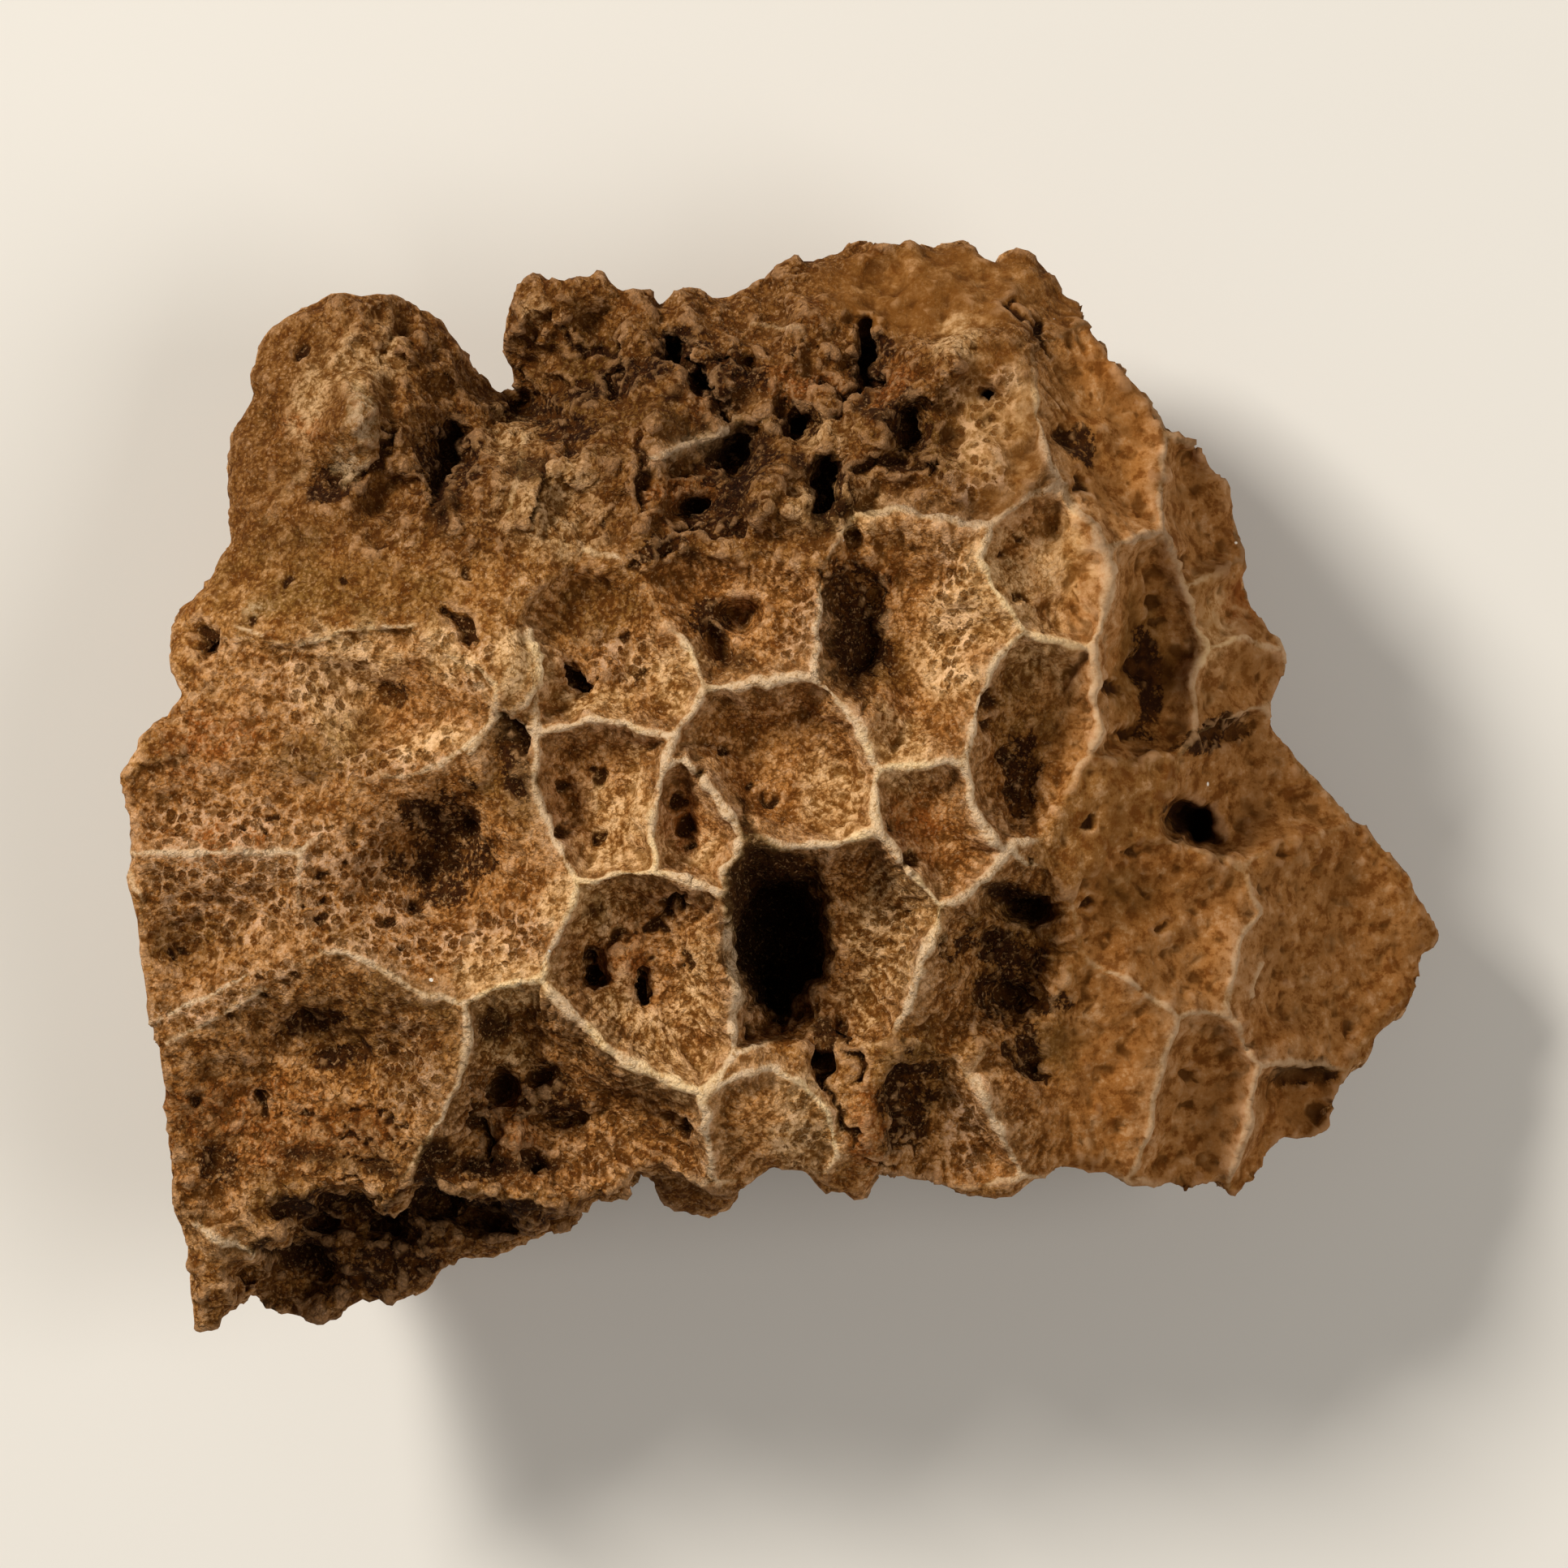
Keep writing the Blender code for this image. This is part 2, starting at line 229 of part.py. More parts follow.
# Steep holes: x, y, half width, half length, turn in degrees and depth
HOLES = [
    (-0.5, -11.6, 4.1, 5.3, 4, 15.0), (-0.6, -17.6, 3.4, 2.0, 0, 4.0), (5.4, 12.0, 2.5, 4.8, 10, 3.6),
    (31.6, -3.0, 1.9, 2.2, 35, 9.0), (33.4, -4.6, 1.7, 1.2, -30, 4.0), (17.7, -9.2, 2.8, 1.1, -14, 6.0),
    (17.4, -16.6, 2.6, 2.0, 0, 3.2), (19.2, -21.6, 1.0, 1.8, 25, 1.6), (-21.9, -23.8, 1.7, 1.6, 0, 5.0),
    (-17.6, -26.0, 2.4, 0.8, 0, 2.6), (-18.6, -22.6, 1.5, 1.0, 0, 2.6), (-14.6, -14.5, 0.8, 1.5, -12, 3.4),
    (-11.0, -15.7, 0.7, 1.8, 0, 3.4), (-3.4, 13.0, 1.5, 1.3, 0, 3.5), (-5.3, 10.8, 0.8, 2.1, 30, 3.0),
    (-15.9, 8.0, 0.9, 1.2, 35, 2.4), (-3.6, 25.8, 1.9, 2.1, 0, 6.5), (-7.0, 21.3, 1.1, 0.9, 0, 5.0),
    (-8.5, 33.7, 0.8, 1.1, 0, 4.0), (-6.6, 30.9, 0.6, 1.6, 15, 4.0), (-5.0, 28.9, 1.4, 0.7, -10, 4.0),
    (1.3, 27.8, 1.5, 1.1, 20, 6.0), (-0.1, 29.0, 0.5, 1.1, 0, 4.0), (3.3, 23.9, 1.1, 1.9, -8, 7.0),
    (5.2, 19.0, 0.5, 1.7, 0, 3.0), (6.4, 33.5, 0.7, 2.3, 0, 5.0), (7.4, 31.0, 0.9, 0.7, 0, 3.0),
    (9.6, 28.0, 1.0, 1.7, 0, 3.0), (-2.8, 32.8, 0.8, 0.8, 0, 3.0), (15.6, 30.1, 0.8, 0.5, 0, 4.0),
    (-26.1, 25.9, 1.5, 2.3, 0, 5.0), (-19.6, 29.0, 3.0, 1.6, -20, 4.0), (-37.6, -37.6, 2.4, 2.0, 0, 2.2),
    (3.1, -21.3, 1.1, 1.3, 0, 4.5), (34.9, 4.2, 2.3, 0.6, 20, 1.6), (39.8, -22.6, 2.6, 1.2, 0, 2.0),
    (-36.6, -33.6, 3.6, 1.1, -10, 5.0), (-31.4, -34.4, 3.0, 1.1, -8, 5.0), (-27.0, -32.8, 1.8, 1.7, 0, 5.0),
    (-22.8, -33.8, 4.4, 1.0, 0, 5.0), (-17.6, -33.6, 2.2, 0.7, 0, 3.5),
]

# Soft hollows, and lumps with a negative depth
HOLLOWS = [
    (-26.6, -5.6, 3.8, 5.0, -15, 3.4), (-15.8, -1.9, 3.2, 3.3, 0, 1.8), (-7.8, -3.0, 1.5, 2.8, 8, 1.2),
    (-46.3, -12.4, 3.4, 2.2, 15, 1.0), (-36.4, -19.4, 5.6, 3.2, -12, 2.6), (-31.2, 6.6, 3.6, 2.8, 0, 2.0),
    (-5.4, 23.2, 5.0, 3.8, 10, 3.2), (-26.6, 25.4, 4.0, 4.4, 0, 2.2), (35.0, -2.6, 3.0, 2.8, 0, 2.2),
    (14.0, -12.6, 2.6, 2.0, 0, 2.0), (11.0, 27.0, 4.0, 2.6, 0, 2.0), (-35.0, 24.0, 3.0, 1.6, 0, 1.8),
    (-17.0, 27.2, 2.4, 1.8, 0, 2.0), (27.0, 9.2, 2.2, 2.0, 0, 1.2), (-33.2, 28.4, 2.2, 2.8, 0, -1.8),
    (-21.8, 9.2, 2.4, 4.4, 0, -1.4), (-20.9, -27.6, 1.7, 2.8, 0, -3.0), (-12.4, -13.2, 1.8, 2.8, 10, -1.2),
    (6.6, -26.0, 1.8, 6.0, 0, -1.4), (-14.2, 8.7, 1.7, 1.6, 0, -1.0), (-19.0, 37.0, 2.4, 2.2, 0, -1.8),
    (-14.4, 38.0, 1.8, 1.6, 0, -1.4), (-7.2, 37.0, 1.9, 1.6, 0, -1.4), (-0.8, -26.6, 3.6, 3.4, 0, -0.8),
    (-15.2, -1.9, 0.8, 1.6, 0, -0.7), (-16.0, -0.2, 0.9, 0.9, 0, -0.6), (-15.8, -4.2, 1.2, 1.1, 0, -0.7),
    (3.6, 37.4, 3.2, 2.4, 0, -1.6), (12.4, 38.4, 3.6, 2.2, 0, -1.6), (17.6, 36.4, 2.4, 3.0, 0, -1.4),
    (13.4, 32.4, 2.6, 2.4, 0, -1.6), (0.2, 33.4, 2.4, 2.0, 0, -1.6), (-9.8, 28.2, 1.8, 1.4, 0, -1.4),
    (-21.0, -35.8, 4.6, 1.2, 14, -3.0),
]

# Zones of the broken upper part that are worn smooth
SMOOTH = [(-39.0, 25.0, 8.0, 12.0, 0), (12.0, 38.4, 9.5, 3.8, 0), (16.6, 27.0, 3.8, 7.5, 0)]

# Heights of the underside; what falls below zero is cut off flat
UNDERSIDE = [
    (-4.0, 0.0, -1.6), (-22.0, -4.0, -1.3), (14.0, 2.0, -1.2), (-6.0, 16.0, -1.0), (-4.0, -15.0, -1.0),
    (-44.0, -4.0, 2.0), (-40.0, -26.0, 3.5), (-45.0, -40.0, 9.0), (-32.0, 26.0, 3.0), (-16.0, 34.0, 3.5),
    (8.0, 38.0, 3.0), (26.0, 28.0, 3.0), (36.0, 10.0, 2.4), (46.0, -12.0, 2.2), (34.0, -26.0, 3.0),
    (10.0, -28.0, 2.0), (-14.0, -30.0, 2.5), (-40.0, 14.0, 2.5),
]


def thin_plate(points):
    """The smooth surface through points of x, y and height, as a function of x and y."""
    known = np.array(points)

    def bend(x, y):
        square = (x[:, None] - known[:, 0]) ** 2 + (y[:, None] - known[:, 1]) ** 2
        return square * np.log(square + 1e-9)

    count = len(known)
    plane = np.column_stack([np.ones(count), known[:, :2]])
    system = np.zeros((count + 3, count + 3))
    system[:count, :count] = bend(known[:, 0], known[:, 1])
    system[:count, count:] = plane
    system[count:, :count] = plane.T
    weights = np.linalg.solve(system, np.concatenate([known[:, 2], np.zeros(3)]))

    def height(x, y):
        return bend(x, y) @ weights[:count] + weights[count] + weights[-2] * x + weights[-1] * y

    return height


def line_distance(x, y, line, closed=False):
    """Distance of each place from a line, and how far along the line's corners the nearest place is."""
    nearest = np.full(x.shape, np.inf)
    place = np.zeros(x.shape)
    ends = line[1:] + line[:1] if closed else line[1:]
    for number, ((ax, ay), (bx, by)) in enumerate(zip(line, ends)):
        run, rise = bx - ax, by - ay
        along = np.clip(((x - ax) * run + (y - ay) * rise) / (run * run + rise * rise), 0.0, 1.0)
        distance = np.hypot(x - ax - along * run, y - ay - along * rise)
        place = np.where(distance < nearest, number + along, place)
        nearest = np.minimum(nearest, distance)
    return nearest, place


def in_ring(x, y, ring):
    inside = np.zeros(x.shape, bool)
    for (ax, ay), (bx, by) in zip(ring, ring[1:] + ring[:1]):
        if by != ay:
            inside ^= ((ay > y) != (by > y)) & (x < ax + (y - ay) * (bx - ax) / (by - ay))
    return inside


def smooth_step(low, high, value):
    share = np.clip((value - low) / (high - low), 0.0, 1.0)
    return share * share * (3.0 - 2.0 * share)


def ellipse_reach(x, y, place):
    """0 at the middle of a turned ellipse and 1 on its edge."""
    middle_x, middle_y, half_width, half_length, turn = place[:5]
    angle = math.radians(turn)
    across = (x - middle_x) * math.cos(angle) + (y - middle_y) * math.sin(angle)
    along = (y - middle_y) * math.cos(angle) - (x - middle_x) * math.sin(angle)
    return np.hypot(across / half_width, along / half_length)


def rough(points, size, octaves=3):
    """Fractal noise of about -1 to 1, whose lumps are size millimetres across."""
    return np.array([noise.fractal(Vector(p) / size, 0.9, 2.1, octaves) for p in points])


def scatter(*whole):
    """A number from 0 to 1 for each set of whole numbers, always the same for the same set."""
    total = np.zeros(np.broadcast(*whole).shape)
    for value, factor in zip(whole, (127.1, 311.7, 74.7, 269.5)):
        total = total + value * factor
    return np.modf(np.abs(np.sin(total) * 43758.5453))[0]


def grain(points, size, octaves=3, seed=0):
    """Soft noise of about -1 to 1 on a lattice of size millimetres, with finer octaves added."""
    total, weight = np.zeros(len(points)), 1.0
    for octave in range(octaves):
        spot = points / size * 2.03 ** octave + 17.3 * octave
        cell = np.floor(spot)
        part = spot - cell
        part = part * part * (3.0 - 2.0 * part)
        for corner in range(8):
            step = np.array([corner & 1, corner >> 1 & 1, corner >> 2 & 1])
            share = np.where(step, part, 1.0 - part).prod(axis=1)
            total += weight * share * (2.0 * scatter(*(cell + step).T, seed) - 1.0)
        weight *= 0.55
    return total * 1.3


def facets(points, size, seed=0):
    """Broken rock from about -1 to 1: each cell of space has its own level and slope, with cliffs between."""
    spot = points / size
    cell = np.floor(spot)
    first, picked = np.full(len(points), 9.0), np.zeros(points.shape)
    for step in np.ndindex(3, 3, 3):
        near = cell + np.array(step) - 1.0
        aside = [scatter(*near.T, axis + 3.0 * seed) - 0.5 for axis in range(3)]
        middle = near + 0.5 + 0.9 * np.column_stack(aside)
        away = np.linalg.norm(middle - spot, axis=1)
        picked = np.where((away < first)[:, None], near, picked)
        first = np.minimum(first, away)
    level, *slope = (2.0 * scatter(*picked.T, 20.0 + axis + 4.0 * seed) - 1.0 for axis in range(4))
    return 0.6 * level + ((spot - picked - 0.5) * np.column_stack(slope)).sum(axis=1)


def cups(x, y):
    """How far the cups sink the surface, and the share of the way from wall to floor."""
    sunk = np.zeros(x.shape)
    share = np.zeros(x.shape)
    for corners, form, depth, width in CUPS:
        names = corners.split()
        ring = [CORNERS[name][:2] for name in names]
        distance, place = line_distance(x, y, ring, closed=True)
        left = np.array([WORN.get(name, 1.0) for name in names + names[:1]])
        whole = np.interp(place, np.arange(len(left)), left)
        reach = np.clip((distance - CREST_WIDTH / 2) / width, 0.0, 1.0)
        gentle = 0.35 * np.sin(reach * math.pi / 2) + 0.65 * smooth_step(0.0, 1.0, reach)
        profile = 1.0 - (1.0 - reach) ** 2 if form == CUP else gentle
        inside = in_ring(x, y, ring)
        worn = min(WORN_DEPTH, depth) * (1.0 - whole) * (1.0 - profile)
        sunk = np.where(inside, depth * profile + worn, sunk)
        share = np.where(inside, profile, share)
    return sunk, share


def smooth_zone(x, y):
    return np.max([1.0 - smooth_step(0.7, 1.3, ellipse_reach(x, y, zone)) for zone in SMOOTH], axis=0)


def hole_depth(x, y):
    """How deep the steep holes are."""
    plan = np.column_stack([x, y, np.zeros(len(x))])
    ragged = 0.16 * grain(plan, 3.2, 3, seed=25) + 0.12 * grain(plan, 1.0, 2, seed=26)
    depth = np.zeros(x.shape)
    for hole in HOLES:
        reach = ellipse_reach(x, y, hole) + ragged * min(1.5, 3.0 / hole[2])
        inner, outer = (0.62, 1.15) if hole[5] > 8.0 else (0.25, 1.3)
        depth += hole[5] * (1.0 - smooth_step(inner, outer, reach))
    return depth


def top_height(x, y):
    """Height of the upper surface, with its cups, holes, hollows, lumps and shelves."""
    sunk, share = cups(x, y)
    height = thin_plate(list(CORNERS.values()) + WEATHERED)(x, y) - sunk
    for hollow in HOLLOWS:
        height -= hollow[5] * np.exp(-1.3 * ellipse_reach(x, y, hollow) ** 2)
    plan = np.column_stack([x, y, np.zeros(len(x))])
    rubble = np.clip((y - 17.0) / 4.0, 0.0, 1.0) * (share == 0.0)
    height += rough(plan, 6.0) * (TOP_ROUGHNESS + (RUBBLE_ROUGHNESS - TOP_ROUGHNESS) * rubble)
    knobbly = smooth_step(15.0, 22.0, y) * (share == 0.0) * (1.0 - 0.75 * smooth_zone(x, y))
    bent = plan + 0.8 * grain(plan, 2.6, 3, seed=30)[:, None]
    height += knobbly * (1.2 * facets(bent, 5.6, seed=7) + 0.3 * facets(bent, 2.2, seed=8))
    height += knobbly * 1.7 * grain(plan, 5.4, 3, seed=27)
    ragged_x, ragged_y = (v + 1.2 * grain(plan, 2.2, 4, seed=seed) for v, seed in ((x, 31), (y, 32)))
    for ring, line, shelf, fall in SHELVES:
        distance, _ = line_distance(ragged_x, ragged_y, ring, closed=True)
        shelf_height = shelf + fall * (y - line) + 1.2 * rough(plan + 40.0, 5.0)
        cover = np.where(in_ring(ragged_x, ragged_y, ring), smooth_step(0.0, 0.6, distance), 0.0)
        height = np.where(shelf_height < height, height + (shelf_height - height) * cover, height)
    edge, _ = line_distance(x, y, OUTLINE, closed=True)
    return height - hole_depth(x, y) - RIM_DROP * (1.0 - np.clip(edge / RIM_ROUND, 0.0, 1.0)) ** 2


def under_height(x, y):
    """Height of the underside, whose broken cups show as shallow many-sided hollows."""
    plan = np.column_stack([x, y, np.full(len(x), 70.0)])
    _, share = cups(x, y)
    edge, _ = line_distance(x, y, OUTLINE, closed=True)
    rise = UNDER_RISE * (1.0 - np.clip(edge / UNDER_ROUND, 0.0, 1.0)) ** 2
    return thin_plate(UNDERSIDE)(x, y) + rise + UNDER_CELL_DEPTH * share + UNDER_ROUGHNESS * rough(plan, 9.0)


def evaluated_mesh(obj):
    """A plain mesh of obj with its modifiers applied; obj itself is removed."""
    graph = bpy.context.evaluated_depsgraph_get()
    mesh = bpy.data.meshes.new_from_object(obj.evaluated_get(graph))
    bpy.data.objects.remove(obj)
    return mesh


def linked(name, data, collection):
    obj = bpy.data.objects.new(name, data)
    collection.objects.link(obj)
    return obj


def block(collection):
    """The outline as a block of even height, meshed in small even faces."""
    curve = bpy.data.curves.new("outline", "CURVE")
    curve.dimensions = "2D"
    curve.fill_mode = "BOTH"
    curve.extrude = BLOCK_HEIGHT / 2
    spline = curve.splines.new("POLY")
    spline.points.add(len(OUTLINE) - 1)
    for point, (x, y) in zip(spline.points, OUTLINE):
        point.co = (x, y, 0.0, 1.0)
    spline.use_cyclic_u = True
    mesh = evaluated_mesh(linked("outline", curve, collection))
    closed = bmesh.new()
    closed.from_mesh(mesh)
    bmesh.ops.remove_doubles(closed, verts=closed.verts, dist=0.0001)
    bmesh.ops.translate(closed, vec=(0.0, 0.0, BLOCK_HEIGHT / 2), verts=closed.verts)
    closed.to_mesh(mesh)
    closed.free()
    slab = linked("slab", mesh, collection)
    remesh = slab.modifiers.new("even faces", "REMESH")
    remesh.mode = "VOXEL"
    remesh.voxel_size = BLOCK_VOXEL
    return evaluated_mesh(slab)


def sculpt(mesh):
    """Moves the block's points so that its top, its underside and its sides become the stone's."""
    count = len(mesh.vertices)
    flat = np.empty(count * 3)
    mesh.vertices.foreach_get("co", flat)
    points = flat.reshape(-1, 3)
    x, y = points[:, 0].copy(), points[:, 1].copy()
    level = np.clip(points[:, 2] / BLOCK_HEIGHT, 0.0, 1.0)
    top, under = top_height(x, y), under_height(x, y)
    points[:, 2] = under + (top - under) * level

    edge, _ = line_distance(x, y, OUTLINE, closed=True)
    side = (1.0 - smooth_step(0.0, SIDE_BAND, edge)) * np.sin(math.pi * level) ** 0.5
    offset_x, offset_y = x - GROWTH_CENTRE[0], y - GROWTH_CENTRE[1]
    reach = np.hypot(offset_x, offset_y) + 0.01
    inset = 1.0 - COLUMN_INSET / reach
    _, column = cups(GROWTH_CENTRE[0] + offset_x * inset, GROWTH_CENTRE[1] + offset_y * inset)
    layers = rough(points * (0.35, 0.35, 2.0) + 20.0, 7.0)
    bulge = SIDE_ROUGHNESS * (0.7 * rough(points, 8.0) + 0.5 * layers) - COLUMN_DEPTH * column
    shrink = 1.0 - TAPER * (1.0 - level) ** 1.5 + side * bulge / reach
    points[:, 0] = GROWTH_CENTRE[0] + offset_x * shrink
    points[:, 1] = GROWTH_CENTRE[1] + offset_y * shrink
    mesh.vertices.foreach_set("co", points.ravel())


def coral_material():
    """Warm brown limestone, dull, darker and redder than the crests of the walls."""
    material = bpy.data.materials.new("coral_stone")
    material.use_nodes = True
    shader = material.node_tree.nodes["Principled BSDF"]
    shader.inputs["Base Color"].default_value = (0.30, 0.165, 0.075, 1.0)
    shader.inputs["Roughness"].default_value = 0.85
    shader.inputs["Metallic"].default_value = 0.0
    return material


def floor_cutter(collection):
    """A box under the floor, which cuts the resting flat."""
    mesh = bpy.data.meshes.new("below_floor")
    box = bmesh.new()
    bmesh.ops.create_cube(box, size=1.0)
    bmesh.ops.scale(box, vec=(0.2, 0.2, 0.02), verts=box.verts)
    bmesh.ops.translate(box, vec=(0.0, 0.0, -0.01), verts=box.verts)
    box.to_mesh(mesh)
    box.free()
    cutter = linked("below_floor", mesh, collection)
    cutter.hide_render = True
    cutter.display_type = "WIRE"
    return cutter


def coral_lump(parts, cutters):
    stone = block(parts)
    sculpt(stone)
    rough_stone = linked("rough_stone", stone, parts)
    remesh = rough_stone.modifiers.new("even faces", "REMESH")
    remesh.mode = "VOXEL"
    remesh.voxel_size = STONE_VOXEL
    fine = evaluated_mesh(rough_stone)
    fine.calc_loop_triangles()
    full = len(fine.loop_triangles)
    fine.transform(Matrix.Scale(MM, 4))
    lump = linked(NAME, fine, parts)
    fewer = lump.modifiers.new("fewer faces", "DECIMATE")
    fewer.ratio = STONE_TRIANGLES / full
    fewer.use_collapse_triangulate = True
    flat = lump.modifiers.new("resting flat", "BOOLEAN")
    flat.operation = "DIFFERENCE"
    flat.object = floor_cutter(cutters)
    fine.shade_flat()
    fine.materials.append(coral_material())
    return lump


def main():
    for obj in list(bpy.data.objects):
        bpy.data.objects.remove(obj)
    collections = []
    for name in ("rugose coral fossil", "cutters"):
        collection = bpy.data.collections.new(name)
        bpy.context.scene.collection.children.link(collection)
        collections.append(collection)
    coral_lump(*collections)


main()
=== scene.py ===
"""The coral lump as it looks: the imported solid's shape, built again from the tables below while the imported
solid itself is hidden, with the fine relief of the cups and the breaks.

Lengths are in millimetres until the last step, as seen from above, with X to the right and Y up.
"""

import math

import bmesh
import bpy
import numpy as np
from mathutils import Matrix, Vector, noise


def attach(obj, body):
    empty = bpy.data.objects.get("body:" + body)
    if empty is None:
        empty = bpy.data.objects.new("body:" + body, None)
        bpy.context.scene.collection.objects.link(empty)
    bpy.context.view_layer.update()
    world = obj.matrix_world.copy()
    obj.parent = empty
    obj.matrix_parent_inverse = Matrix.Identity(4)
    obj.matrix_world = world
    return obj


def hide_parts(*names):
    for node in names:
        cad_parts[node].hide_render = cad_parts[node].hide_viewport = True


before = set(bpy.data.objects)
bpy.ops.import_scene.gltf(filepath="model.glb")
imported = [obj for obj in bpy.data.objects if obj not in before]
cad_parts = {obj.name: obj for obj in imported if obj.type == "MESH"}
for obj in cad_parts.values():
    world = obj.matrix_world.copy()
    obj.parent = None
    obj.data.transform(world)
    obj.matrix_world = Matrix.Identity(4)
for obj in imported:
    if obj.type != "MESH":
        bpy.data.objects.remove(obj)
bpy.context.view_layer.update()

MM = 0.001
NODE = "coral_lump"

# Sizes of the lump
BLOCK_HEIGHT = 30.0
BLOCK_VOXEL = 0.48
STONE_VOXEL = 0.32
TOP_TRIANGLES = 122000
OTHER_TRIANGLES = 72000
TAPER = 0.11
GROWTH_CENTRE = (-2.0, -1.0)
CREST_WIDTH = 0.4
RIB_SPACING = 1.05
WORN_DEPTH = 0.9
RIM_ROUND = 1.2
RIM_DROP = 0.8
UNDER_ROUND = 8.0
UNDER_RISE = 5.0
SIDE_ROUGHNESS = 1.6
SIDE_BAND = 3.2
COLUMN_DEPTH = 1.3
COLUMN_INSET = 2.2
UNDER_ROUGHNESS = 1.3
UNDER_CELL_DEPTH = 1.2
TOP_ROUGHNESS = 0.4
RUBBLE_ROUGHNESS = 1.4
DEEP_HOLE = 8

# Bands of y over which the broken upper part begins: as knobs in the shape, and as rubble in the relief
KNOBS_BEGIN = (15, 22)
RUBBLE_BEGINS = (15, 20)

# Bands of x over which the right flank loses its ribs, its dark pits and its sharpness, and grows darker with
# painted shade
RIBS_END = (20, 30)
PITS_FADE = (22, 30)
BLUR_BEGINS = (16, 26)
FLANK_SHADE_BEGINS = (12, 34)

# Width of the view at the level of the cups, and the camera's sensor and its long lens
VIEW_WIDTH = 120.75
CUP_LEVEL = 30.0
SENSOR_WIDTH = 36.0
LENS = 300.0

# Soft square lights, in metres: name, place, side, watts and colour, and the point that they face
LIGHTS = [
    ("key", (-0.95, 0.78, 0.9), 0.38, 27.5, (1, 0.94, 0.84)),
    ("fill", (0.8, -0.2, 1), 0.9, 7, (1, 0.96, 0.9)),
]
LIGHT_AIM = (0, 0, 0.02)
WORLD_COLOUR = (1, 0.9, 0.76, 1)
WORLD_STRENGTH = 0.2
FLOOR_COLOUR = (0.72, 0.71, 0.69, 1)
FLOOR_ROUGHNESS = 0.9
FLOOR_SIZE = 1.5

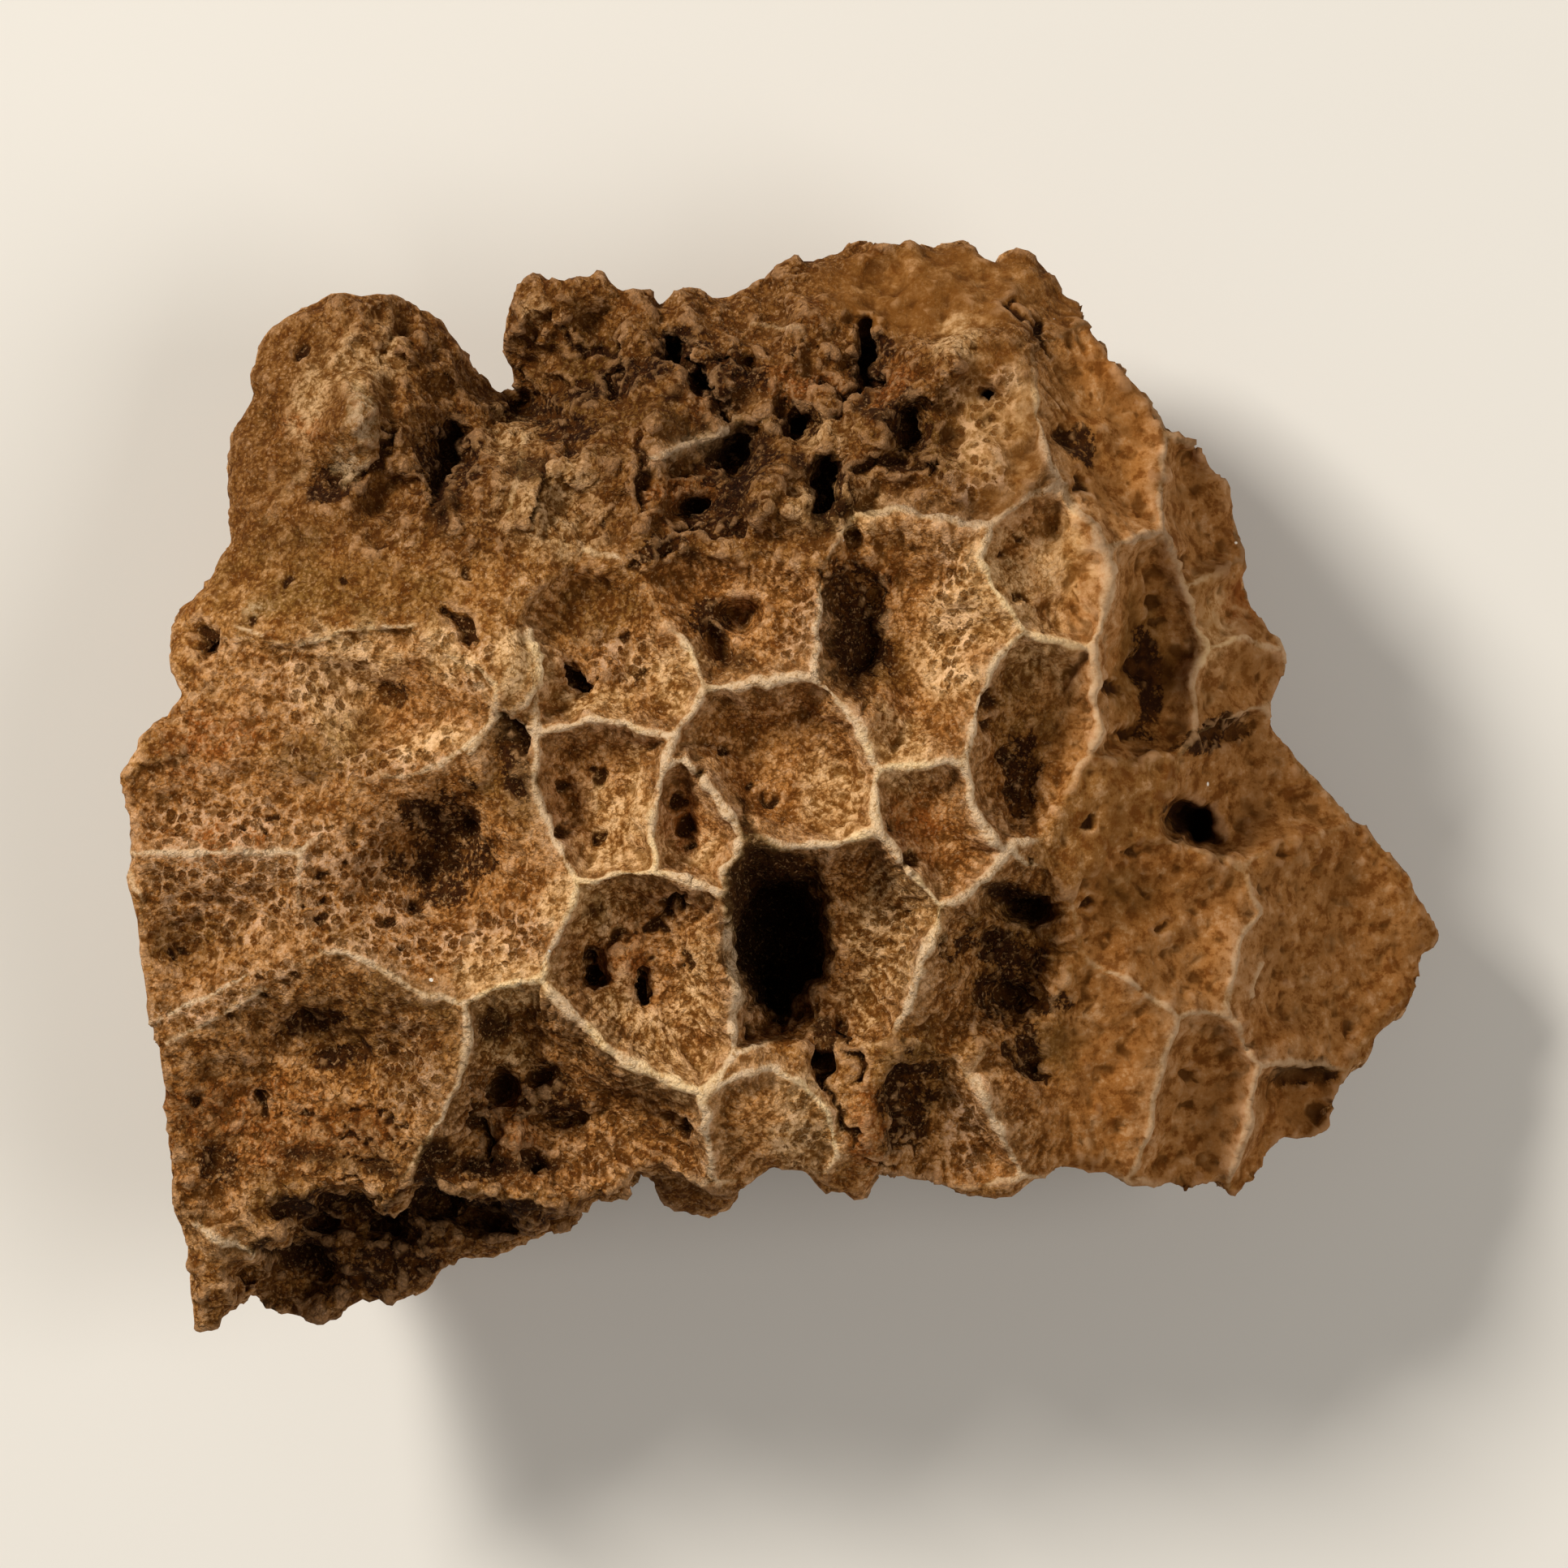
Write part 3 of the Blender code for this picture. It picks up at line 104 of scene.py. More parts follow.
# The outline seen from above, clockwise from the left corner
OUTLINE = [
    (-51.5, 0.4), (-50.9, 1.4), (-50, 2.6), (-49.8, 3.7), (-48.2, 5), (-47, 6.4), (-46.8, 7.4),
    (-47.4, 8.4), (-47.4, 9.6), (-47, 11.8), (-46.2, 13.6), (-45.2, 14.6), (-44.6, 15.8), (-43.8, 17.4),
    (-43, 18.6), (-42.9, 20.5), (-43, 24.5), (-43, 27.7), (-42, 28.8), (-40.9, 30.1), (-41.5, 30.8),
    (-41.4, 31.9), (-40.8, 33.6), (-40, 35.3), (-38, 36.6), (-36.2, 37.4), (-35.2, 38.1), (-34.3, 38.2),
    (-33, 37.8), (-31.6, 38.2), (-30.5, 37.9), (-28.5, 37.3), (-27, 36.4), (-26, 35), (-25, 33.4),
    (-24, 32), (-22.4, 30.6), (-21.5, 30.1), (-20.9, 31.2), (-21, 32.3), (-21.8, 33.8), (-21.9, 35),
    (-21.4, 37), (-20.4, 38.4), (-19.8, 39.4), (-19.2, 39.6), (-17.5, 39), (-16.6, 39.5), (-15, 39.6),
    (-14.3, 40.2), (-13.9, 39.8), (-13.5, 38.9), (-12.6, 38.3), (-10.7, 38.4), (-10.2, 37.9), (-10, 37),
    (-9.2, 37), (-8.8, 37.9), (-7.9, 38.4), (-7, 38.5), (-5.2, 37.9), (-4, 38.2), (-2.5, 38.9),
    (-1.2, 39.7), (-0.7, 40.6), (0.3, 41), (2.5, 40.9), (4, 41.5), (5.6, 42.6), (7.5, 42.3), (10.3, 42.2),
    (11.5, 41.8), (13.5, 42.1), (14.4, 42), (15.5, 41), (17.1, 40.5), (17.4, 41.6), (18.5, 41.8),
    (19.3, 41.5), (20.3, 40.3), (21.2, 39.3), (21.8, 37.9), (22.8, 37.9), (23.3, 37), (23.4, 36.2),
    (24.2, 34.6), (25, 34.1), (25.1, 32.8), (26.1, 32.7), (27, 31.4), (28.4, 30), (29.6, 28.2),
    (30.6, 27.3), (32.3, 26.7), (33, 25.6), (33.3, 24.6), (34.6, 24.2), (35, 23.3), (35.1, 20.8),
    (36.1, 17.9), (35.9, 16.2), (36.2, 14.8), (37.3, 13.3), (38.9, 10.8), (39.6, 9.2), (39.2, 8.1),
    (38.2, 6.8), (37.6, 5.6), (38.1, 4.9), (39.4, 3.3), (40.5, 1.8), (42, 0.2), (43.6, -1.6), (44.4, -2.8),
    (45.6, -3.6), (47.4, -5.4), (49, -7.2), (50, -8.6), (50.8, -10.2), (51.4, -11.8), (51.2, -12.8),
    (50, -13.6), (50.2, -14.8), (49.2, -16.4), (48.2, -17.9), (46.1, -19.5), (45.5, -21.5), (44.1, -22.5),
    (43.4, -24.3), (43.1, -26.2), (42.6, -27.3), (41.2, -27.9), (38.7, -27.9), (38.1, -28.8), (37.4, -30),
    (36.1, -31.1), (35.2, -32.5), (34.6, -32.2), (34.6, -31.2), (32.6, -31.3), (31.2, -32), (30.4, -31.3),
    (28.2, -31.1), (26.6, -31.2), (26.3, -30.6), (24.4, -30.1), (22.5, -29.8), (20.8, -29.9), (19.3, -30.6),
    (18.2, -31.6), (16.2, -32.1), (14.4, -31.8), (12, -31.2), (9, -30.4), (7, -30), (6.7, -31),
    (6.2, -32.3), (5.3, -32.2), (4.8, -31.7), (3, -31.7), (2.5, -30.8), (1.8, -30), (-0.8, -30),
    (-3.2, -31.4), (-4.2, -32.6), (-5.2, -33.3), (-7, -33.6), (-8.8, -33.2), (-9.8, -32.4), (-10, -31.2),
    (-11.5, -30.1), (-11.7, -31.6), (-12.6, -31.9), (-13.6, -32.6), (-14.6, -32), (-15.5, -32.6),
    (-15.9, -33.3), (-16.5, -34.3), (-17.4, -34.8), (-19, -34.8), (-22, -36.2), (-25, -36.9), (-27, -37.8),
    (-27.6, -39), (-28.4, -39.7), (-30.4, -40.2), (-33, -40.5), (-34.4, -41.2), (-35.2, -41.9),
    (-36.4, -41.8), (-38, -41.4), (-39.6, -40.6), (-41.4, -40), (-42.8, -40.1), (-43.6, -41.3),
    (-44.1, -42.3), (-45.6, -42.7), (-45.9, -41.8), (-46, -36.2), (-46.5, -35), (-47.2, -32.5),
    (-47.5, -29), (-47.8, -25.5), (-47.9, -23), (-48.5, -20), (-49.1, -17.5), (-49.5, -14), (-49.8, -11),
    (-50.4, -8.6), (-50.5, -7.5), (-50.1, -6), (-50.3, -4.6), (-50.9, -2),
]

# Corners and bends of the walls between the cups, run by run: x, y and the height of the wall's crest.
# The third corner of run e is named e3.
CORNER_RUNS = {
    "a": [(-18.6, 4.2, 35.4), (-15, 4.9, 35.8), (-12, 4.5, 36), (-8.9, 3.5, 36.4), (-9.3, 1.2, 36.6),
        (-10.3, -3, 36.6), (-10.1, -6.4, 36.8), (-15.7, -7.7, 36.2), (-18.7, -2, 35.6),
        (-19.2, 0.6, 35.4)],
    "b": [(-8.2, 1.7, 36.4), (-6.2, 0.1, 36.8), (-4.9, -1.9, 37), (-2.9, -4, 37.2), (-4.4, -6.6, 37.2),
        (-4.9, -8.7, 37.2), (-7.5, -7.7, 37)],
    "d": [(-7.6, 5.4, 36), (-5.9, 7.3, 35.8), (-1.5, 7.5, 35.6), (2.6, 8.3, 35.4), (4.6, 5.3, 35.8),
        (7.7, 1.1, 36.2), (7.3, -1.5, 36.6), (6.9, -4.1, 36.8), (3.2, -4.8, 37), (-0.3, -4.8, 37.1)],
    "e": [(9.3, -6.9, 36.4), (11.5, -9.4, 35.8), (11, -12.4, 35.6), (10.1, -16, 34.8), (8.7, -19.2, 33.6),
        (4, -20, 32.8), (0, -19.8, 33), (-3.7, -20.4, 34.4), (-3.6, -17.4, 36), (-4.5, -12.5, 37)],
    "f": [(-6.4, -24, 35), (-10.8, -21.5, 35.4), (-14.3, -19.2, 35.6), (-16.6, -16.8, 35.8),
        (-18.4, -14.9, 36), (-17.2, -11, 36.2)],
    "g": [(10.4, 1.7, 35.9), (13.9, 1.7, 35.2), (14.4, -1.4, 34.9), (16.9, -5.2, 33.6),
        (15.2, -7.4, 34.4)],
    "h": [(15, 5.6, 34.4), (15.9, 8.8, 33.8), (18.2, 11.6, 33.2), (15.6, 15.2, 33.4), (15.1, 17.6, 33.2),
        (15.7, 19.7, 32.6), (12.6, 20, 33), (8.8, 20.9, 33), (5.4, 20.6, 33.2), (2.7, 16, 34.6),
        (2.4, 11.5, 35.2)],
    "i": [(17.6, 21.3, 31.8), (21, 23.2, 30.6), (22.8, 20.9, 30.6), (24.9, 18.1, 30.2), (24.6, 14, 30.4),
        (24.1, 10.5, 30.4), (20.8, 10.9, 32)],
    "j": [(5.2, 23.8, 32), (8.2, 24.9, 31.6), (12, 24, 31.6)],
    "k": [(23.7, 7, 30.4), (24.2, 4, 30.2), (23.2, 1.8, 30.4), (21.4, -1, 31), (20.2, -3.6, 31.6)],
    "l": [(19.8, 26.2, 29.8), (18.7, 30.2, 28), (18.9, 33.6, 25.8), (23.6, 35.6, 22.6), (28.2, 30.2, 22.6),
        (29.9, 27.4, 22.8), (29.1, 24, 24.6), (29, 19.3, 26.4), (26.6, 18.5, 28.4)],
    "m": [(32.6, 26.4, 19.6), (34.8, 23.6, 18.2), (35, 20.4, 18.8), (36, 17, 18.8), (31.2, 15.4, 23.8),
        (30, 17.2, 25.2)],
    "n": [(32.2, 12.2, 22.8), (32.8, 10.6, 22.2), (31.6, 7.2, 23.4), (31.2, 3.8, 24.2), (27.6, 1.2, 26.8)],
    "o": [(36.4, 14.4, 18.8), (38.8, 10.5, 17.4), (35.4, 11.1, 20.2), (39.4, 9, 16.6), (37.7, 5.6, 18.4),
        (34.6, 5, 21.6)],
    "p": [(39.6, 3, 16.8), (42.2, 0, 15.4), (44.6, -3, 14.6), (40.8, -3.9, 18.4), (38.2, -5, 20.4),
        (35.6, -6.8, 22.4), (31, -4.6, 25.4), (29.6, -1.4, 25.6)],
    "q": [(36.8, -9.8, 21.6), (35, -12.6, 23), (34.3, -17.8, 23.2), (31.4, -18.1, 24.8),
        (30.2, -18.7, 25.4), (26.6, -15.6, 27.4), (23.4, -13.2, 28.8), (22.4, -8.6, 29.8),
        (25.6, -4.2, 28)],
    "r": [(47.4, -5.6, 13.6), (50.4, -9.6, 12), (51, -12.6, 11.6), (49.6, -16, 12.4), (46.2, -19.4, 14.4),
        (44.2, -22.2, 16.2), (40.6, -21.5, 18.8), (36.8, -21.5, 21.4)],
    "s": [(35.8, -24.4, 21.6), (35.3, -28, 20.8), (34.9, -31.6, 19.4), (31, -31.6, 21.2),
        (27, -30.6, 23.2), (27.8, -26.8, 24.4), (28.9, -23.2, 25)],
    "t": [(43.2, -25.6, 16), (40.6, -27.8, 17), (37.6, -29.8, 18)],
    "u": [(22.4, -29.8, 25.8), (18.7, -30.2, 27.4), (16.8, -26.4, 29.6), (15.6, -23.6, 30.6),
        (14.2, -21.6, 31), (16.4, -19.4, 30.8), (20.4, -17.8, 29.4)],
    "v": [(20, -6.6, 31.4), (12.6, -20.2, 32.2), (8.6, -21.2, 32.6)],
    "w": [(12.6, -31, 28.4), (8.4, -30.2, 29), (8, -25, 31)],
    "x": [(-4, -22.6, 34.8), (-1.2, -21.9, 34.4), (1.4, -22.8, 33.6), (3.4, -24.8, 32.6), (4.3, -28.2, 31),
        (3, -29.8, 29.8), (-1.4, -30, 30.6), (-5, -30.4, 31), (-5.8, -27.4, 33.2)],
    "y": [(-11.4, -30, 30.6), (-16.4, -31.4, 30.4), (-22.4, -32, 30.6), (-26.6, -30.4, 31.4),
        (-28, -28.2, 32.4), (-26.4, -26, 33.4), (-25.2, -22.6, 34), (-24.8, -20, 34.4), (-25, -17.2, 34.8),
        (-21.8, -15.9, 35.4)],
    "z": [(-37, -5.3, 33.2), (-35, -3, 33.4), (-33.2, -0.2, 33.8), (-28.6, 0.6, 34.8), (-24.6, 2.4, 35.4),
        (-21.8, 4.8, 35.4), (-30.4, -15, 34.4), (-33.6, -13.4, 34), (-35.9, -13.3, 33.8),
        (-37, -9.2, 33.2)],
    "aa": [(-29.8, -31.4, 30.8), (-36.6, -31.6, 29.8), (-40.4, -33.4, 29), (-45, -34, 28.4),
        (-47.3, -30, 28.8), (-48.2, -21.5, 30), (-48.6, -19.4, 30.4), (-43.4, -17.2, 32),
        (-39, -15, 33.2)],
    "bb": [(-49.6, -12, 30.6), (-50.3, -5.5, 31), (-35.4, 1.6, 33.2), (-40.6, 2.4, 32), (-46, 2.8, 30.8),
        (-51.2, 0.4, 30.2)],
    "cc": [(-22.4, 7.4, 35.8), (-26, 10.6, 34.4), (-28.8, 12.2, 33.4), (-33.8, 11.8, 32.4),
        (-38, 10.8, 31.4), (-37.4, 6, 32.2)],
    "dd": [(-49.6, 3.4, 29.6), (-47, 7, 29.4), (-43.8, 11.5, 29.2)],
    "ee": [(-19.4, 8.4, 36), (-20.6, 12.2, 34.8), (-16.4, 16.6, 32.6), (-11.2, 15.6, 33.4),
        (-8.2, 11.6, 34.6), (-6.9, 9.4, 35.2)],
    "ff": [(-8, 17.4, 32.4), (-1, 17.6, 32.8)],
}
CORNERS = {
    letters + str(number): corner
    for letters, run in CORNER_RUNS.items() for number, corner in enumerate(run, 1)
}

# The share of the wall that is left at corners where it is worn low; elsewhere it is whole
WORN_SHARES = {
    0.08: "z3",
    0.1: "e6 e7 k4 k5 n5 p4 q9 r1 r2 r3 r4 s4 t1 t2 t3 u1 u6 u7 v1 v2 v3 w1 w2 w3 x7 y1 y2 y3 y4 aa1 aa2 "
        "aa3 aa4 aa5 aa6 aa7 aa8 bb1 bb3 bb4 bb5 bb6 cc6 dd1 dd2 ee3 ee4 ff1 ff2",
    0.12: "h10 p8 z10 z2",
    0.15: "aa9 ee2",
    0.2: "l3 l4 m4 o1 p2 p3 p5 q7 q8 r5 x6 cc2 cc3 cc4 cc5 dd3",
    0.25: "p7 z9",
    0.3: "e5 n4 o6 p1 s3 u5 ee5",
    0.35: "p6",
    0.4: "l5 m3 x8 cc1 ee1",
    0.5: "h9 k3 m1 m2 m5 n1 n3 o4 o5 r6 s5 u2 y5 z4 z6",
    0.6: "l2 m6 q1 x5 y6 y7 z5",
    0.7: "o3 q6 r7 y8 z1 z8 bb2",
    0.8: "z7",
}
WORN = {name: share for share, names in WORN_SHARES.items() for name in names.split()}

# The cups: the wall corners round each, how deep its floor lies under the crest, and how far from the wall
# the floor is reached. A cup drops steeply from its wall, and a saucer slopes evenly down to its middle. The
# last two numbers say how plainly its floor is a net of pores, and how crumbly it is.
CUP, SAUCER = "cup", "saucer"
CUPS = [
    ("a1 a2 a3 a4 a5 a6 a7 a8 a9 a10", CUP, 3.1, 2.4, 0.25, 0.15),
    ("a5 b1 b2 b3 b4 b5 b6 b7 a7 a6", CUP, 2.6, 1.7, 0.2, 0.1),
    ("a4 d1 d2 d3 d4 d5 d6 d7 d8 d9 d10 b4 b3 b2 b1 a5", CUP, 4.8, 4.4, 0.35, 0.12),
    ("b6 b5 b4 d10 d9 d8 e1 e2 e3 e4 e5 e6 e7 e8 e9 e10", CUP, 6.0, 4.0, 0.5, 0.35),
    ("a8 a7 b7 b6 e10 e9 e8 f1 f2 f3 f4 f5 f6", CUP, 5.3, 4.6, 0.35, 0.3),
    ("d6 g1 g2 g3 g4 g5 e2 e1 d8 d7", CUP, 3.2, 3.2, 0.25, 0.15),
    ("d4 d5 d6 g1 g2 h1 h2 h3 h4 h5 h6 h7 h8 h9 h10 h11", SAUCER, 5.0, 6.2, 0.4, 0.15),
    ("h3 h4 h5 h6 i1 i2 i3 i4 i5 i6 i7", CUP, 3.1, 2.8, 0.3, 0.1),
    ("h3 i7 i6 k1 k2 k3 k4 k5 g4 g3 g2 h1 h2", CUP, 4.3, 3.2, 0.3, 0.15),
    ("i2 l1 l2 l3 l4 l5 l6 l7 l8 l9 i4 i3", CUP, 3.4, 3.8, 0.3, 0.12),
    ("l8 l7 l6 m1 m2 m3 m4 m5 m6", CUP, 3.1, 3.0, 0.3, 0.1),
    ("i4 l9 l8 m6 m5 n1 n2 n3 n4 n5 k3 k2 k1 i6 i5", CUP, 4.3, 3.4, 0.35, 0.15),
    ("m5 m4 o1 o2 o3 n2 n1", CUP, 1.7, 2.4, 0.3, 0.1),
    ("n2 o3 o2 o4 o5 o6 n4 n3", SAUCER, 1.1, 2.6, 0.3, 0.1),
    ("n4 o6 o5 p1 p2 p3 p4 p5 p6 p7 p8", CUP, 3.1, 3.6, 0.3, 0.15),
    ("p7 p6 q1 q2 q3 q4 q5 q6 q7 q8 q9", SAUCER, 2.0, 4.0, 0.4, 0.15),
    ("p6 p5 p4 p3 r1 r2 r3 r4 r5 r6 r7 r8 q3 q2 q1", SAUCER, 2.4, 5.0, 0.4, 0.15),
    ("q5 q4 q3 r8 s1 s2 s3 s4 s5 s6 s7", CUP, 2.5, 2.8, 0.3, 0.12),
    ("r8 r7 r6 t1 t2 t3 s3 s2 s1", CUP, 2.6, 2.6, 0.3, 0.15),
    ("q6 q5 s7 s6 s5 u1 u2 u3 u4 u5 u6 u7 q7", SAUCER, 1.8, 5.6, 0.4, 0.15),
    ("e2 g5 g4 v1 q8 q7 u7 u6 v2 e5 e4 e3", SAUCER, 4.4, 4.6, 0.3, 0.3),
    ("v3 v2 u5 u4 u3 u2 w1 w2 w3", CUP, 2.6, 2.4, 0.4, 0.2),
    ("f1 x1 x2 x3 x4 x5 x6 x7 x8 x9", CUP, 1.1, 1.6, 0.3, 0.12),
    ("f5 f4 f3 f2 f1 x9 x8 y1 y2 y3 y4 y5 y6 y7 y8 y9 y10", CUP, 5.5, 5.0, 0.6, 0.5),
    ("z1 z2 z3 z4 z5 z6 a1 a10 a9 a8 f6 f5 y10 y9 z7 z8 z9 z10", SAUCER, 3.4, 7.5, 0.9, 0.25),
    ("z9 z8 z7 y9 y8 y7 y6 y5 aa1 aa2 aa3 aa4 aa5 aa6 aa7 aa8 aa9", SAUCER, 3.6, 7.0, 0.8, 0.45),
    ("z1 z10 z9 aa9 aa8 aa7 bb1 bb2", SAUCER, 2.3, 5.0, 0.9, 0.25),
    ("bb2 z1 z2 z3 bb3 bb4 bb5 bb6", SAUCER, 1.8, 3.5, 1.0, 0.2),
    ("z3 z4 z5 z6 cc1 cc2 cc3 cc4 cc5 cc6 bb3", SAUCER, 2.5, 5.0, 0.9, 0.15),
    ("cc5 cc6 bb3 bb4 bb5 dd1 dd2 dd3", SAUCER, 1.0, 4.0, 1.0, 0.2),
    ("a1 ee1 ee2 ee3 ee4 ee5 ee6 d2 d1 a4 a3 a2", CUP, 3.1, 3.8, 0.45, 0.25),
    ("d2 ee6 ee5 ee4 ff1 ff2 h10 h11 d4 d3", CUP, 3.1, 3.2, 0.45, 0.25),
]

# Heights of the weathered surface away from the cups
WEATHERED = [
    (-33, 30, 26.5), (-40, 33, 20.5), (-34, 37.6, 19), (-26.5, 35, 18.5), (-22.8, 31, 18),
    (-42.6, 24, 22.5), (-42.6, 19.4, 24.5), (-46, 12, 26.5), (-18.6, 37, 20.5), (-14.2, 39, 19.5),
    (-21.2, 34, 18.5), (-20.2, 30.2, 17.5), (-12, 33, 22.5), (0, 40, 19.5), (6, 42, 18.5), (14, 41.5, 18.5),
    (19, 41, 18.5), (23, 37, 19.5), (5, 33, 25.5), (12.5, 33, 25.5), (-1, 30, 27), (-9, 37, 19.5),
    (-29, 20.5, 31), (-36, 18, 29), (-14, 22, 31), (-40, 15, 28.5), (-20, 25, 29.5), (-9.8, 25.4, 29.8),
    (-4.8, 27.4, 29.4), (-45, -41.5, 25), (-41.2, -36.4, 28), (6.4, -31, 28),
]

# Places where the top layer has broken off, with the height of the shelf left at a line of y and its fall
SHELVES = [
    ([(-41.5, -37.4), (-40.2, -36.1), (-38.6, -34.6), (-37.2, -33.0), (-34.0, -32.2), (-30.6, -32.8),
      (-28.2, -31.0), (-26.6, -31.6), (-22.6, -32.6), (-19.0, -32.6), (-16.6, -31.8), (-15.2, -32.4),
      (-14.0, -38.0), (-30.0, -46.0), (-43.0, -45.0), (-42.6, -40.0)], -34.0, 22.0, 0.5),
    ([(-11.6, -29.8), (-8.0, -30.2), (-4.4, -30.8), (-2.4, -31.4), (-2.0, -36.0), (-12.0, -36.0)],
     -31.0, 24.0, 0.9),
]

# Steep holes: x, y, half width, half length, turn in degrees and depth; hollows are in this order too
HOLES = [
    (-0.5, -11.6, 4.1, 5.3, 4, 15), (-0.6, -17.6, 3.4, 2, 0, 4), (5.4, 12, 2.5, 4.8, 10, 3.6),
    (31.6, -3, 1.9, 2.2, 35, 9), (33.4, -4.6, 1.7, 1.2, -30, 4), (17.7, -9.2, 2.8, 1.1, -14, 6),
    (17.4, -16.6, 2.6, 2, 0, 3.2), (19.2, -21.6, 1, 1.8, 25, 1.6), (-21.9, -23.8, 1.7, 1.6, 0, 5),
    (-17.6, -26, 2.4, 0.8, 0, 2.6), (-18.6, -22.6, 1.5, 1, 0, 2.6), (-14.6, -14.5, 0.8, 1.5, -12, 3.4),
    (-11, -15.7, 0.7, 1.8, 0, 3.4), (-3.4, 13, 1.5, 1.3, 0, 3.5), (-5.3, 10.8, 0.8, 2.1, 30, 3),
    (-15.9, 8, 0.9, 1.2, 35, 2.4), (-3.6, 25.8, 1.9, 2.1, 0, 6.5), (-7, 21.3, 1.1, 0.9, 0, 5),
    (-8.5, 33.7, 0.8, 1.1, 0, 4), (-6.6, 30.9, 0.6, 1.6, 15, 4), (-5, 28.9, 1.4, 0.7, -10, 4),
    (1.3, 27.8, 1.5, 1.1, 20, 6), (-0.1, 29, 0.5, 1.1, 0, 4), (3.3, 23.9, 1.1, 1.9, -8, 7),
    (5.2, 19, 0.5, 1.7, 0, 3), (6.4, 33.5, 0.7, 2.3, 0, 5), (7.4, 31, 0.9, 0.7, 0, 3),
    (9.6, 28, 1, 1.7, 0, 3), (-2.8, 32.8, 0.8, 0.8, 0, 3), (15.6, 30.1, 0.8, 0.5, 0, 4),
    (-26.1, 25.9, 1.5, 2.3, 0, 5), (-19.6, 29, 3, 1.6, -20, 4), (-37.6, -37.6, 2.4, 2, 0, 2.2),
    (3.1, -21.3, 1.1, 1.3, 0, 4.5), (34.9, 4.2, 2.3, 0.6, 20, 1.6), (39.8, -22.6, 2.6, 1.2, 0, 2),
    (-36.6, -33.6, 3.6, 1.1, -10, 5), (-31.4, -34.4, 3, 1.1, -8, 5), (-27, -32.8, 1.8, 1.7, 0, 5),
    (-22.8, -33.8, 4.4, 1, 0, 5), (-17.6, -33.6, 2.2, 0.7, 0, 3.5),
]

# Soft hollows, and lumps, which have a negative depth
HOLLOWS = [
    (-26.6, -5.6, 3.8, 5, -15, 3.4), (-15.8, -1.9, 3.2, 3.3, 0, 1.8), (-7.8, -3, 1.5, 2.8, 8, 1.2),
    (-46.3, -12.4, 3.4, 2.2, 15, 1), (-36.4, -19.4, 5.6, 3.2, -12, 2.6), (-31.2, 6.6, 3.6, 2.8, 0, 2),
    (-5.4, 23.2, 5, 3.8, 10, 3.2), (-26.6, 25.4, 4, 4.4, 0, 2.2), (35, -2.6, 3, 2.8, 0, 2.2),
    (14, -12.6, 2.6, 2, 0, 2), (11, 27, 4, 2.6, 0, 2), (-35, 24, 3, 1.6, 0, 1.8),
    (-17, 27.2, 2.4, 1.8, 0, 2), (27, 9.2, 2.2, 2, 0, 1.2), (-33.2, 28.4, 2.2, 2.8, 0, -1.8),
    (-21.8, 9.2, 2.4, 4.4, 0, -1.4), (-20.9, -27.6, 1.7, 2.8, 0, -3), (-12.4, -13.2, 1.8, 2.8, 10, -1.2),
    (6.6, -26, 1.8, 6, 0, -1.4), (-14.2, 8.7, 1.7, 1.6, 0, -1), (-19, 37, 2.4, 2.2, 0, -1.8),
    (-14.4, 38, 1.8, 1.6, 0, -1.4), (-7.2, 37, 1.9, 1.6, 0, -1.4), (-0.8, -26.6, 3.6, 3.4, 0, -0.8),
    (-15.2, -1.9, 0.8, 1.6, 0, -0.7), (-16, -0.2, 0.9, 0.9, 0, -0.6), (-15.8, -4.2, 1.2, 1.1, 0, -0.7),
    (3.6, 37.4, 3.2, 2.4, 0, -1.6), (12.4, 38.4, 3.6, 2.2, 0, -1.6), (17.6, 36.4, 2.4, 3, 0, -1.4),
    (13.4, 32.4, 2.6, 2.4, 0, -1.6), (0.2, 33.4, 2.4, 2, 0, -1.6), (-9.8, 28.2, 1.8, 1.4, 0, -1.4),
    (-21, -35.8, 4.6, 1.2, 14, -3),
]

# Zones of the broken upper part that are worn smooth
SMOOTH = [
    (-39, 25, 8, 12), (12, 38.4, 9.5, 3.8), (16.6, 27, 3.8, 7.5),
]

# Heights of the underside; what falls below zero is cut off flat
UNDERSIDE = [
    (-4, 0, -1.6), (-22, -4, -1.3), (14, 2, -1.2), (-6, 16, -1), (-4, -15, -1), (-44, -4, 2),
    (-40, -26, 3.5), (-45, -40, 9), (-32, 26, 3), (-16, 34, 3.5), (8, 38, 3), (26, 28, 3), (36, 10, 2.4),
    (46, -12, 2.2), (34, -26, 3), (10, -28, 2), (-14, -30, 2.5), (-40, 14, 2.5),
]

